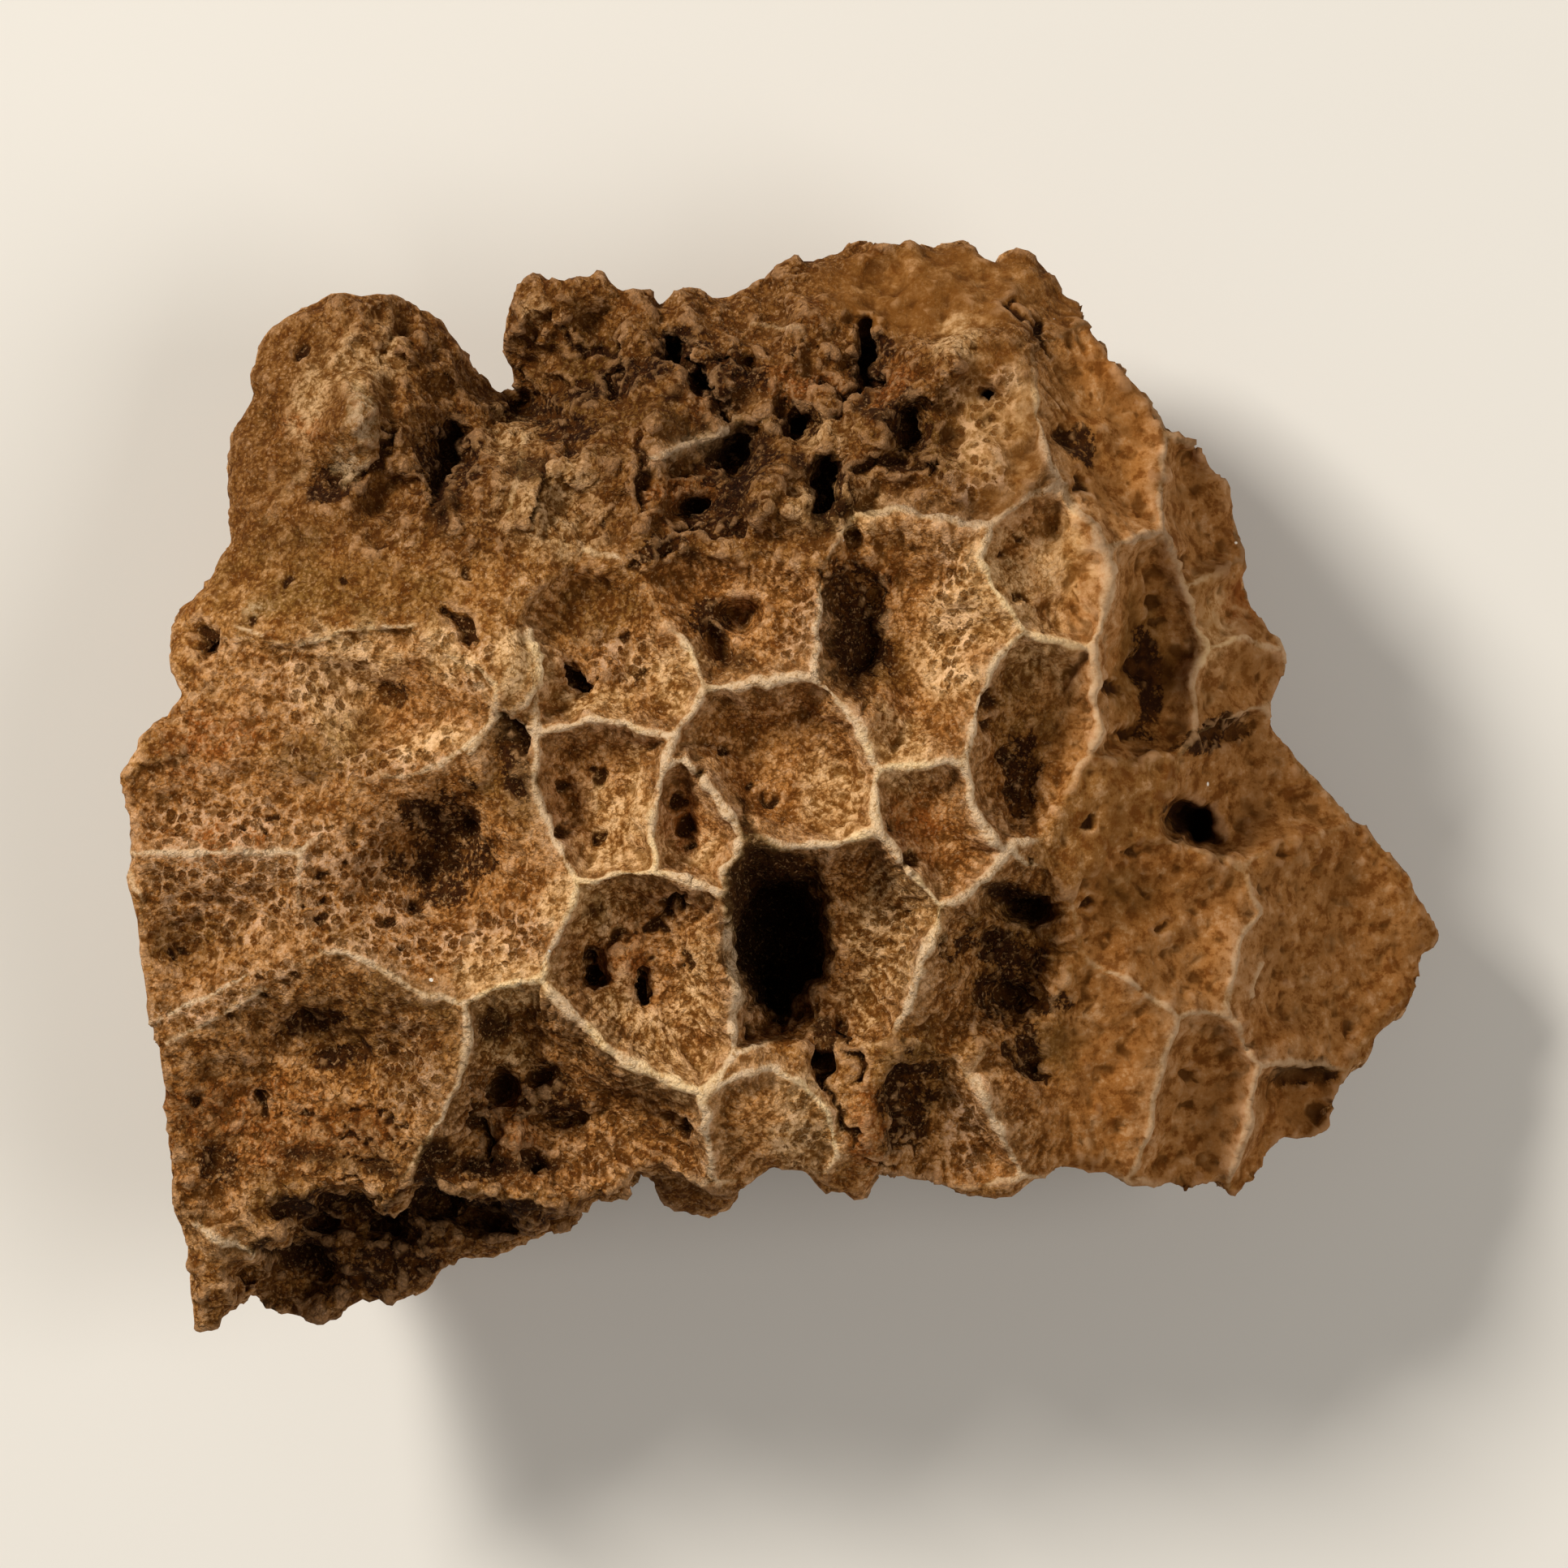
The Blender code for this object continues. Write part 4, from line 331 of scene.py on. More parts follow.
# Small pits seen in the photograph: their radius, with the x and y of each
PITS = {
    0.35: [(-9.2, -11.3), (-9.9, -13.4)],
    0.4: [(-11.5, -11.6), (-35.5, -8.9), (-36.8, -9.2), (-35.6, -7.1), (-41.5, -3.5), (-39.9, -3.6),
        (-40.6, -14.9), (-40.1, -16.2), (-42.6, -18.1), (-37.6, -14.9), (-33.9, -6), (-29.8, -12.8),
        (-33, -4.4)],
    0.45: [(-13.4, -12.3), (-10.9, -14.6)],
    0.5: [(-14.8, 1), (-2.7, 0.2), (8, -3.1), (17.9, 19.2), (16.8, 17.8), (37.2, -8.4), (28.1, -8.5),
        (29.2, -11.1), (36.3, -20.4), (-22.6, -27.9), (4.5, -26.1), (-41, 12.7), (-3.9, 31.6), (5.1, 19.2),
        (-11, 8.6), (-12.4, 11.4), (-14.8, -13.4), (-11.2, -15.4), (-35.6, -10.4), (-39.4, -2.6),
        (-0.2, -18.6), (-13.9, 20), (-34, 15.6)],
    0.6: [(-7.5, -4.5), (-6.5, 0.6), (18.2, 14.5), (39, -5.4), (26.8, -5.6), (23.4, -9.1), (18.9, -6.1),
        (-40.6, -24), (-19, -29.2), (-37.6, 33.6), (-31.1, 18.2), (-38.2, 15.6), (-4.6, 33.3),
        (-2.6, 32.3), (9.6, 28.2), (3, 15.6), (-30.6, -10.5), (-2.6, -18.9), (3, -22.5), (-24.4, 16.2),
        (0.6, 33.8)],
    0.7: [(-17.1, -0.2), (-17.1, -3.5), (-8, -1.4), (-4.9, 2.8), (15.5, 4.6), (30.9, 17.3), (29.4, 12.4),
        (23.6, -2.8), (44.6, -18.9), (31.6, -25.1), (-25.6, -6.2), (-35.3, -21.1), (-45.6, -24.3),
        (8.7, -26.5), (15.8, 30.1), (-15.2, 30.6)],
    0.75: [(-14.1, 0.4), (-14.4, -4.1), (-14.6, -14.9), (-10.8, -16.3)],
    0.8: [(-7.6, -3.2), (-1, -1), (15.9, 6.4), (17.1, 2.1), (17.6, -0.3), (22.9, 23.3), (28.5, 14.1),
        (27, 9.3), (25.3, 7.6), (26.4, 3.9), (31.8, -22.9), (-24.6, -3.7), (-28.6, -9.2), (-7.8, -26.6),
        (-8.8, 17.9), (-11.6, 16.4), (12.4, -12.6), (15.9, -12.2)],
    0.9: [(-20.7, -0.2), (9.9, -5.7), (21.7, 26.9), (-27.7, -6.7), (-36.8, -18.4), (8.9, -22.6),
        (-16.5, 25.9), (-12.7, -11.7), (41.7, -25.7), (-26.8, 22.6), (-34.6, 23.6)],
    1: [(-27.3, -2.8), (-10, -11)],
}

# Cracks and slits: the line, its half width and its depth
CRACKS = [
    ([(-21.4, 5.1), (-20.9, 4.2), (-20.2, 3.2)], 0.5, 1.4),
    ([(-26, 13.6), (-25, 12.6), (-24.1, 11.2)], 0.5, 1.6),
    ([(-9, 34.5), (-7.6, 32.6), (-6.2, 31), (-5.2, 29.6), (-4.5, 28.5)], 0.4, 1.6),
    ([(-13.1, 32.3), (-13.7, 30.5)], 0.35, 1.6), ([(-7.6, 19.8), (-5.4, 19.6), (-3.4, 19.8)], 0.45, 1.4),
    ([(3.3, 22.4), (2.9, 21)], 0.6, 2.2), ([(5.6, 24.5), (8.2, 24.8), (11, 24.5)], 0.5, 1.2),
    ([(-26.4, 24.6), (-26.9, 21.8)], 0.7, 1.4), ([(32.6, 3.5), (34.1, 4.5), (36.1, 5.1)], 0.3, 0.8),
    ([(-23.6, -26.6), (-23.3, -24.6)], 0.5, 1.4), ([(-9.2, -9.8), (-8.9, -9.1), (-7.9, -8.8)], 0.6, 1.7),
    ([(-7.3, -11.9), (-7.4, -14)], 0.35, 0.7), ([(-16.5, 8.9), (-16, 7.9), (-14.9, 7.4)], 0.4, 1.2),
    ([(-33.4, -25.2), (-31, -25.6), (-28.8, -26.5)], 0.22, 0.5),
    ([(-34.4, -26.9), (-31.8, -27.6)], 0.22, 0.5), ([(-31, -27.4), (-28.6, -28)], 0.2, 0.4),
    ([(-33.8, -28.7), (-31, -29.4)], 0.22, 0.5), ([(-34.8, -30.2), (-32.4, -30.7)], 0.2, 0.4),
    ([(-38.8, -25.4), (-36.8, -25.8)], 0.2, 0.5),
    ([(-40.9, -23.9), (-40.2, -24.6), (-40.4, -25.6)], 0.35, 1), ([(-22.9, -25.6), (-22.8, -29)], 0.3, 1.6),
    ([(-19.9, -28.9), (-18.9, -29.9)], 0.5, 1.4), ([(17, -20.4), (18.6, -21.8), (20.3, -22.8)], 0.35, 0.6),
    ([(-45.2, 12), (-44.8, 10.6)], 0.7, 2), ([(-47, -13.1), (-46.2, -12.7), (-45.4, -12.4)], 0.3, 0.7),
    ([(-38.8, -33), (-36.2, -32.5), (-33.8, -33.6), (-31.2, -34), (-29.2, -33.2), (-27.8, -31.4),
        (-27.5, -29.4)], 1.1, 0.9),
    ([(-27.4, -32.6), (-25.4, -33.3), (-22.6, -32.9), (-19.6, -32.6)], 1, 0.9),
    ([(-40.2, -36.2), (-39.4, -37.8), (-37, -38.6)], 1.2, 0.9),
    ([(8.3, -23.6), (8.5, -27.4), (9.4, -28.2), (10.5, -28.5)], 0.3, 0.8),
    ([(6.2, -29.2), (8.5, -29.7)], 0.3, 0.8),
    ([(3.3, -22.8), (4.2, -24.8), (4.4, -26.6), (5.6, -27.4)], 0.4, 0.9),
    ([(4.5, -18.2), (3.8, -19.8), (2.6, -20.8)], 0.6, 1.2),
    ([(3.8, -20.2), (5.4, -20.7), (5.9, -21.8), (5.4, -23)], 0.5, 1.2),
    ([(-11.6, 26.4), (-10.4, 23.6), (-11.2, 21.6)], 0.5, 1),
    ([(-30.2, 27.8), (-30.8, 25.2), (-32.4, 23.8)], 0.5, 1),
    ([(-19.4, 20.2), (-18.2, 22.6), (-18.4, 25)], 0.4, 0.8), ([(3, 30.8), (5, 30.2), (7.4, 31)], 0.5, 1.2),
    ([(17.4, 37.2), (19.4, 35.8), (20.4, 33.8)], 0.4, 0.8),
    ([(-17, 35), (-15.2, 33.6), (-12.8, 34.2)], 0.5, 1),
]

# Thin ridges that belong to no whole cup: the line, its half width and how tall and pale it is
RIDGES = [
    ([(-45.5, -34), (-43.4, -35.1), (-41, -36.4)], 0.5, 1.5),
    ([(-20.2, 27.2), (-20.4, 24), (-21.3, 20.7)], 0.35, 0.3),
    ([(-17.8, 18.6), (-15.2, 17.9), (-12.6, 17.4)], 0.3, 0.5),
    ([(-36.7, 25), (-38, 23.2), (-39.8, 20.5)], 0.5, 0.25),
    ([(-10.3, 25), (-8, 26), (-5.6, 26.9), (-4.7, 27.6)], 0.35, 1),
    ([(-3.7, 28.3), (-2, 28.5), (-0.6, 27.4)], 0.5, 0.4),
    ([(-25.5, 9.9), (-23.2, 7.4), (-22.3, 6), (-22.7, 4.2), (-24.1, 2.4)], 0.35, 0.7),
    ([(-19.6, 11.7), (-18.9, 9.4), (-19, 7.6), (-19.8, 6.2), (-20.9, 5.6)], 0.4, 0.8),
    ([(-42.4, 12.2), (-40.9, 11.8), (-38.8, 10.8)], 0.25, 0.5),
    ([(-37.4, 10.7), (-35.9, 11), (-34, 11.8), (-31, 11.9), (-28.2, 12.2)], 0.25, 0.5),
    ([(37.2, -14), (36.6, -15.4), (36.2, -16.6)], 0.35, 0.7),
    ([(-48.8, -18.4), (-44, -16.2), (-39.6, -13.7)], 0.25, 0.6),
    ([(-47.6, -20), (-43.6, -18), (-39.8, -15.8)], 0.22, 0.45),
    ([(-2.6, 35.8), (0.4, 35.3), (2.6, 34.6)], 0.25, 0.35),
]

# Patches where the floors are netted with open pores: x, y, half width, half length and any turn
NETTED = [
    (-43.5, -3, 7, 2.2), (-35.6, -7.5, 2.4, 5.5), (-31.8, -6.5, 2.6, 3.8), (-27.5, -12.6, 5.8, 1.8, 8),
    (-42.5, -16.2, 6, 1.8, 20), (-37, 7.2, 3.4, 4.8), (-30, 1.8, 4.8, 1.6, 10), (-24.4, 9.4, 2.4, 2.4),
    (-33.2, 9.2, 3, 2.4), (13, 13, 2.2, 6), (15.4, 26.6, 3.4, 6), (-12.6, 9.6, 3.4, 3), (2, 12.6, 2.6, 3.6),
    (-28.6, -22, 3, 5), (-21, -12, 3, 2.4), (8.6, -11.6, 2.4, 4.8), (-43, -9.4, 6, 3),
    (13.8, -26.4, 2.2, 4), (1.6, -26.6, 2.4, 3.4), (-34, -8, 7, 6), (-42, -6, 8, 4),
]

# Patches of other stone, of painted light, and of dark stains and painted shade: x, y, half width, half length
# and any turn
WHITE_CRUST = [
    (-32.6, 28.2, 1.3, 3.2, 8), (-33.2, 24.6, 1.7, 1.3), (-7.6, 26.2, 2.8, 0.6, 25),
    (-40.8, 13.6, 1.4, 0.6),
]
# pale stone, and painted light on slopes that face the light
PALE_STONE_AND_PAINTED_LIGHT = [
    (-33, 9.2, 5.2, 3.2), (-20.6, 9.6, 2, 3.4), (-21, 27, 2.6, 3), (-17.4, 21.4, 4.6, 3.6),
    (16.6, 14.4, 4.6, 4.6), (20.6, 10, 2.6, 4), (9.2, 2.6, 3.6, 3.4), (-15, -9, 3.8, 2.8),
    (-13.2, -3, 2.4, 3.4), (-9, -5.6, 2.4, 1.6), (-21.4, -15.6, 4, 3.6), (8.6, -9.4, 3.4, 3.6),
    (-9.2, -20.8, 4.6, 3.2, -30), (21, 16.6, 2.4, 4), (-8.6, 8.6, 3.2, 3.2), (4, 21.4, 4.6, 2.6),
    (-33, 33, 3.6, 3.4), (-21.6, -20.6, 2.8, 2.2), (1.6, -26.4, 2.6, 3.6), (33.4, 12, 2, 4.6),
    (15.6, 27, 3, 4), (-6.6, -16, 1.8, 4.4), (-13, -17.4, 3.4, 1.8, 40), (7.6, -12.4, 2.8, 6.4, -8),
    (-13.4, -5.6, 3.4, 1.8), (-11.6, -1.4, 1.2, 4.6), (4, -1, 3.4, 3.6), (-6.2, -5.8, 1.8, 1.8),
    (-35.4, 6, 1.8, 4.4, 35), (-27.6, 3.2, 3.2, 1.4, 10), (-26, 9.6, 2.4, 1.8, -30), (12.6, 11.4, 2.4, 5.4),
    (3, 27, 2.4, 2), (-13.8, 6.6, 3.6, 1.4), (17.8, 27.6, 1.6, 4.4), (13.6, 34, 2.2, 1.8),
    (-19.2, 36.8, 1.4, 1.4), (-36.6, 30.6, 1.4, 5.4, -8),
]
RED_STONE = [
    (-43.5, 3.4, 6, 2.4, 20), (-41, -26, 7, 5), (6.6, -26.6, 1.8, 4.4), (-20.9, -27.4, 1.9, 3),
    (-12.6, -13, 1.8, 3.6, 10), (10.2, -3.6, 3.2, 2.8), (-37, 27.4, 2, 1.2), (-43, -4.6, 4, 1.6),
    (-33.6, -26.4, 4, 2.6, -10), (35.8, 14, 2, 2.4), (-7.6, -3.2, 1.6, 2.8), (6, 13, 2.6, 5, 10),
    (1, 31, 3.4, 2), (-7.4, 22, 3.4, 2.4), (-5.6, 30.4, 3, 2.4), (8, 30.4, 2, 3),
]
# olive stone, and painted shade beside steep drops and along the broken rim
OLIVE_STONE_AND_SHADE = [
    (-39.4, 15.4, 4.6, 3.6), (-47.6, 2.8, 1.8, 1.4), (-33.6, -11.4, 1.6, 1.3), (-46, -12.4, 3, 2.6),
    (-36.6, 2.4, 5, 2), (27, -9, 2.8, 3), (9.8, -23, 3, 5), (-38.6, -32, 4, 2.6), (-13, 30.6, 7, 5),
    (-3.6, 25, 5, 4), (-30, -19, 7, 5), (20, -20.6, 3, 2.6), (-33.4, 3.4, 3.2, 2.4), (-45, -25.6, 3, 4.4),
    (-33, -27, 4, 3), (-21, 0.6, 2.6, 4.4), (7.6, 9.6, 2.4, 3), (9.4, -21.4, 2.4, 3), (-38.6, 17, 3.6, 3),
    (18, -12.6, 5, 5), (18.6, 5, 3, 5), (-32, 14.6, 6, 2.4), (-30, -34.4, 10, 2.6, 15), (28, 9, 2.6, 6),
    (11, 27, 5, 3), (-14, 13, 4, 3),
]
# dark stains, and painted shade in and beside holes and under the broken rim
STAINS_AND_SHADE = [
    (-37, -18.5, 3.6, 0.9, 16), (-34.4, -21, 2.6, 0.9, 18), (-43.8, -29.6, 2.4, 1.6),
    (-27.2, -31, 2.2, 3.2), (-35.4, -33, 5, 1.6, -8), (-31.6, -34.6, 3.4, 1.1, -14),
    (-22.8, -33.2, 5.4, 1.4), (-37.4, -37.2, 3.4, 2.8), (-32, -38, 5, 2.6, 20), (-18.2, -23, 1.9, 1.3, -20),
    (-17.8, -25, 2.8, 1.4), (-23.6, -29.6, 2, 1.2), (16.2, -12.6, 4.2, 1.5, -5), (17.4, -16.4, 2.7, 2.2),
    (20.8, -16.9, 1.7, 0.9, 10), (19.4, -13.8, 1.1, 1.8, -20), (19, -20.6, 1.2, 3, 8),
    (-3.6, -13, 1.1, 4.6), (-19.4, 29, 3.2, 1.4, -20), (-16.6, 27.4, 2.2, 1.2), (-3.8, 25.4, 3.4, 3),
    (-4.8, 31.2, 3.6, 2.6), (-8.2, 34.2, 1.6, 1.6), (-6, 20.6, 3, 1.4), (0.8, 28, 2.6, 1.8),
    (4, 22.6, 1.6, 3), (9.6, 28, 2, 2.6), (-26, 25.6, 2.8, 3.2), (-35, 23.2, 3, 1.4), (6.8, 33, 1.6, 3),
    (-10.2, 18, 2.6, 1, 20), (-20.8, 1.6, 1.6, 3.2, 15), (28.2, 7.4, 1.6, 4.2), (18.6, 0.2, 1.7, 3),
    (33.8, 4.1, 3.4, 1.2, 14), (22.6, 26.6, 1.4, 1.8), (-26.2, -4.8, 3.8, 4.8, -12), (-30.2, 7, 1.5, 1.3),
    (9.6, -24.8, 1.9, 4.4), (10.6, -22, 2.6, 1), (41, -22.6, 3.2, 1.2), (-12, 31.6, 6, 1.4, 20),
    (-5.6, 12.8, 1.6, 2), (5.4, 12.2, 3, 4.8, 10),
]


def on_grid(height, half=62, step=1):
    """The same surface, looked up between the points of a grid, which is much faster."""
    line = np.arange(-half, half + step, step)
    grid_x, grid_y = np.meshgrid(line, line, indexing="ij")
    known = height(grid_x.ravel(), grid_y.ravel()).reshape(grid_x.shape)

    def looked_up(x, y):
        column, row = ((np.clip(v, -half, half - 0.01) + half) / step for v in (x, y))
        i, j = column.astype(int), row.astype(int)
        a, b = column - i, row - j
        near = known[i, j] * (1 - b) + known[i, j + 1] * b
        far = known[i + 1, j] * (1 - b) + known[i + 1, j + 1] * b
        return near * (1 - a) + far * a

    return looked_up


def thin_plate(points):
    """The smooth surface through points of x, y and height, as a function of x and y."""
    known = np.array(points)

    def bend(x, y):
        square = (x[:, None] - known[:, 0]) ** 2 + (y[:, None] - known[:, 1]) ** 2
        return square * np.log(square + 1e-9)

    count = len(known)
    plane = np.column_stack([np.ones(count), known[:, :2]])
    system = np.zeros((count + 3, count + 3))
    system[:count, :count] = bend(known[:, 0], known[:, 1])
    system[:count, count:] = plane
    system[count:, :count] = plane.T
    weights = np.linalg.solve(system, np.concatenate([known[:, 2], np.zeros(3)]))

    def height(x, y):
        return bend(x, y) @ weights[:count] + weights[count] + weights[-2] * x + weights[-1] * y

    return height


crest_height = on_grid(thin_plate(list(CORNERS.values()) + WEATHERED))
base_height = on_grid(thin_plate(UNDERSIDE))


def line_distance(x, y, line, closed=False):
    """Distance of each place from a line, and how far along the line's corners the nearest place is."""
    nearest = np.full(x.shape, np.inf)
    place = np.zeros(x.shape)
    ends = line[1:] + line[:1] if closed else line[1:]
    for number, ((ax, ay), (bx, by)) in enumerate(zip(line, ends)):
        run, rise = bx - ax, by - ay
        along = np.clip(((x - ax) * run + (y - ay) * rise) / (run * run + rise * rise), 0, 1)
        distance = np.hypot(x - ax - along * run, y - ay - along * rise)
        place = np.where(distance < nearest, number + along, place)
        nearest = np.minimum(nearest, distance)
    return nearest, place


def in_ring(x, y, ring):
    inside = np.zeros(x.shape, bool)
    for (ax, ay), (bx, by) in zip(ring, ring[1:] + ring[:1]):
        if by != ay:
            inside ^= ((ay > y) != (by > y)) & (x < ax + (y - ay) * (bx - ax) / (by - ay))
    return inside


def ease(low, high, value):
    """0 below low and 1 above high, with a soft rise between."""
    share = np.clip((value - low) / (high - low), 0, 1)
    return share * share * (3 - 2 * share)


def ellipse_reach(x, y, place):
    """0 at the middle of a turned ellipse and 1 on its edge."""
    middle_x, middle_y, half_width, half_length, turn = (*place, 0)[:5]
    angle = math.radians(turn)
    across = (x - middle_x) * math.cos(angle) + (y - middle_y) * math.sin(angle)
    along = (y - middle_y) * math.cos(angle) - (x - middle_x) * math.sin(angle)
    return np.hypot(across / half_width, along / half_length)


def rough(points, size, octaves=3):
    """Fractal noise of about -1 to 1, whose lumps are size millimetres across."""
    return np.array([noise.fractal(Vector(p) / size, 0.9, 2.1, octaves) for p in points])


def scatter(*whole):
    """A number from 0 to 1 for each set of whole numbers, always the same for the same set."""
    total = np.zeros(np.broadcast(*whole).shape)
    for value, factor in zip(whole, (127.1, 311.7, 74.7, 269.5)):
        total = total + value * factor
    return np.modf(np.abs(np.sin(total) * 43758.5453))[0]


def grain(points, size, octaves=3, seed=0):
    """Soft noise of about -1 to 1 on a lattice of size millimetres, with finer octaves added."""
    total, weight = np.zeros(len(points)), 1
    for octave in range(octaves):
        spot = points / size * 2.03 ** octave + 17.3 * octave
        cell = np.floor(spot)
        part = spot - cell
        part = part * part * (3 - 2 * part)
        for corner in range(8):
            step = np.array([corner & 1, corner >> 1 & 1, corner >> 2 & 1])
            share = np.where(step, part, 1 - part).prod(axis=1)
            total += weight * share * (2 * scatter(*(cell + step).T, seed) - 1)
        weight *= 0.55
    return total * 1.3


def cells(u, v, jitter=0.75, seed=0):
    """Nearest and second nearest distance to the scattered middles of unit cells on a plane."""
    column, row = np.floor(u), np.floor(v)
    first = np.full(u.shape, 9.0)
    second = first.copy()
    for i in (-1, 0, 1):
        for j in (-1, 0, 1):
            c, r = column + i, row + j
            du = c + 0.5 + jitter * (scatter(c, r, 1 + seed) - 0.5) - u
            dv = r + 0.5 + jitter * (scatter(c, r, 2 + seed) - 0.5) - v
            distance = np.hypot(du, dv)
            second = np.minimum(second, np.maximum(first, distance))
            first = np.minimum(first, distance)
    return first, second


def near_cells(spot, jitter, seed):
    """Each of the 27 unit cells of space round each spot, and how far off its scattered middle lies."""
    for step in np.ndindex(3, 3, 3):
        near = np.floor(spot) + np.array(step) - 1
        aside = np.column_stack([scatter(*near.T, axis + 3 * seed) - 0.5 for axis in range(3)])
        yield near, np.linalg.norm(near + 0.5 + jitter * aside - spot, axis=1)


def lumps(points, size, jitter=0.9, seed=0):
    """Distance, in cells, to the nearest of many scattered middles in space."""
    first = np.full(len(points), 9.0)
    for _, away in near_cells(points / size, jitter, seed):
        first = np.minimum(first, away)
    return first


def facets(points, size, seed=0):
    """Broken rock, about -1 to 1: cells of space with their own levels and slopes, parted by low cliffs."""
    spot = points / size
    first, picked = np.full(len(points), 9.0), np.zeros(points.shape)
    for near, away in near_cells(spot, 0.9, seed):
        picked = np.where((away < first)[:, None], near, picked)
        first = np.minimum(first, away)
    level, *slope = (2 * scatter(*picked.T, 20 + axis + 4 * seed) - 1 for axis in range(4))
    return 0.6 * level + ((spot - picked - 0.5) * np.column_stack(slope)).sum(axis=1)


def wander(x, y):
    """The place that each place borrows its cup from, so that the walls wander a little."""
    plan = np.column_stack([x, y, np.zeros(len(x))])
    aside = 0.38 * grain(plan, 4.5, 2, seed=21) + 0.13 * grain(plan, 1.1, 2, seed=22)
    along = 0.38 * grain(plan, 4.5, 2, seed=23) + 0.13 * grain(plan, 1.1, 2, seed=24)
    return x + aside, y + along


def cups(x, y):
    """The cups at each place: how far they sink it and the share of the way to the floor.

    Also the distance from the wall and how whole it is, where the place lies round its cup and how far from
    its middle, how many ribs the cup has, and how netted and crumbly it is.
    """
    kinds = ("sunk", "share", "whole", "turn", "ribs", "reach", "net", "crumb")
    found = {name: np.zeros(x.shape) for name in kinds}
    found["wall"] = np.full(x.shape, 99.0)
    x, y = wander(x, y)
    for number, (corners, form, depth, width, net, crumb) in enumerate(CUPS):
        names = corners.split()
        ring = [CORNERS[name][:2] for name in names]
        near = (x > min(p[0] for p in ring) - 3) & (x < max(p[0] for p in ring) + 3)
        near &= (y > min(p[1] for p in ring) - 3) & (y < max(p[1] for p in ring) + 3)
        px, py = x[near], y[near]
        distance, place = line_distance(px, py, ring, closed=True)
        left = np.array([WORN.get(name, 1) for name in names + names[:1]])
        whole = np.interp(place, np.arange(len(left)), left)
        inside = in_ring(px, py, ring)
        reach = np.clip((distance - CREST_WIDTH / 2) / width, 0, 1)
        gentle = 0.35 * np.sin(reach * math.pi / 2) + 0.65 * ease(0, 1, reach)
        profile = 1 - (1 - reach) ** 2 if form == CUP else gentle
        middle_x = sum(p[0] for p in ring) / len(ring)
        middle_y = sum(p[1] for p in ring) / len(ring)
        girth = sum(math.dist(a, b) for a, b in zip(ring, ring[1:] + ring[:1]))
        here = {
            "sunk": depth * profile + min(WORN_DEPTH, depth) * (1 - whole) * (1 - profile),
            "share": profile,
            "turn": np.arctan2(py - middle_y, px - middle_x) / (2 * math.pi) + 0.5,
            "ribs": np.full(px.shape, float(max(8, round(girth / RIB_SPACING)))),
            "reach": np.hypot(px - middle_x, py - middle_y),
            "net": np.full(px.shape, net), "crumb": np.full(px.shape, crumb),
        }
        for name, value in here.items():
            found[name][near] = np.where(inside, value, found[name][near])
        closer = distance < found["wall"][near]
        found["whole"][near] = np.where(closer, whole, found["whole"][near])
        found["wall"][near] = np.minimum(distance, found["wall"][near])
    return found


def smooth_zone(x, y):
    return np.max([1 - ease(0.7, 1.3, ellipse_reach(x, y, zone)) for zone in SMOOTH], axis=0)


def hole_depth(x, y):
    """How deep the steep holes are."""
    depth = np.zeros(x.shape)
    for hole in HOLES:
        reach = ellipse_reach(x, y, hole)
        near = np.flatnonzero(reach < 1.9)
        plan = np.column_stack([x[near], y[near], np.zeros(len(near))])
        ragged = 0.16 * grain(plan, 3.2, 3, seed=25) + 0.12 * grain(plan, 1, 2, seed=26)
        reach = reach[near] + ragged * min(1.5, 3 / hole[2])
        inner, outer = (0.62, 1.15) if hole[5] > DEEP_HOLE else (0.25, 1.3)
        depth[near] += hole[5] * (1 - ease(inner, outer, reach))
    return depth


def top_height(x, y, cup):
    """Height of the upper surface, with its cups, holes, hollows, lumps and shelves."""
    height = crest_height(x, y) - cup["sunk"]
    for hollow in HOLLOWS:
        height -= hollow[5] * np.exp(-1.3 * ellipse_reach(x, y, hollow) ** 2)
    plan = np.column_stack([x, y, np.zeros(len(x))])
    rubble = np.clip((y - 17) / 4, 0, 1) * (cup["share"] == 0)
    height += rough(plan, 6) * (TOP_ROUGHNESS + (RUBBLE_ROUGHNESS - TOP_ROUGHNESS) * rubble)
    knobbly = ease(*KNOBS_BEGIN, y) * (cup["share"] == 0) * (1 - 0.75 * smooth_zone(x, y))
    bent = plan + 0.8 * grain(plan, 2.6, 3, seed=30)[:, None]
    broken = np.flatnonzero(knobbly > 0)
    large, small = facets(bent[broken], 5.6, seed=7), facets(bent[broken], 2.2, seed=8)
    height[broken] += knobbly[broken] * (1.2 * large + 0.3 * small)
    height += knobbly * 1.7 * grain(plan, 5.4, 3, seed=27)
    ragged_x, ragged_y = x + 1.2 * grain(plan, 2.2, 4, seed=31), y + 1.2 * grain(plan, 2.2, 4, seed=32)
    for ring, line, shelf, fall in SHELVES:
        distance, _ = line_distance(ragged_x, ragged_y, ring, closed=True)
        shelf_height = shelf + fall * (y - line) + 1.2 * rough(plan + 40, 5)
        cover = np.where(in_ring(ragged_x, ragged_y, ring), ease(0, 0.6, distance), 0)
        height = np.where(shelf_height < height, height + (shelf_height - height) * cover, height)
    edge, _ = line_distance(x, y, OUTLINE, closed=True)
    return height - hole_depth(x, y) - RIM_DROP * (1 - np.clip(edge / RIM_ROUND, 0, 1)) ** 2


def under_height(x, y, cup):
    """Height of the underside, whose broken cups show as shallow many-sided hollows."""
    plan = np.column_stack([x, y, np.full(len(x), 70.0)])
    edge, _ = line_distance(x, y, OUTLINE, closed=True)
    rise = UNDER_RISE * (1 - np.clip(edge / UNDER_ROUND, 0, 1)) ** 2
    return base_height(x, y) + rise + UNDER_CELL_DEPTH * cup["share"] + UNDER_ROUGHNESS * rough(plan, 9)


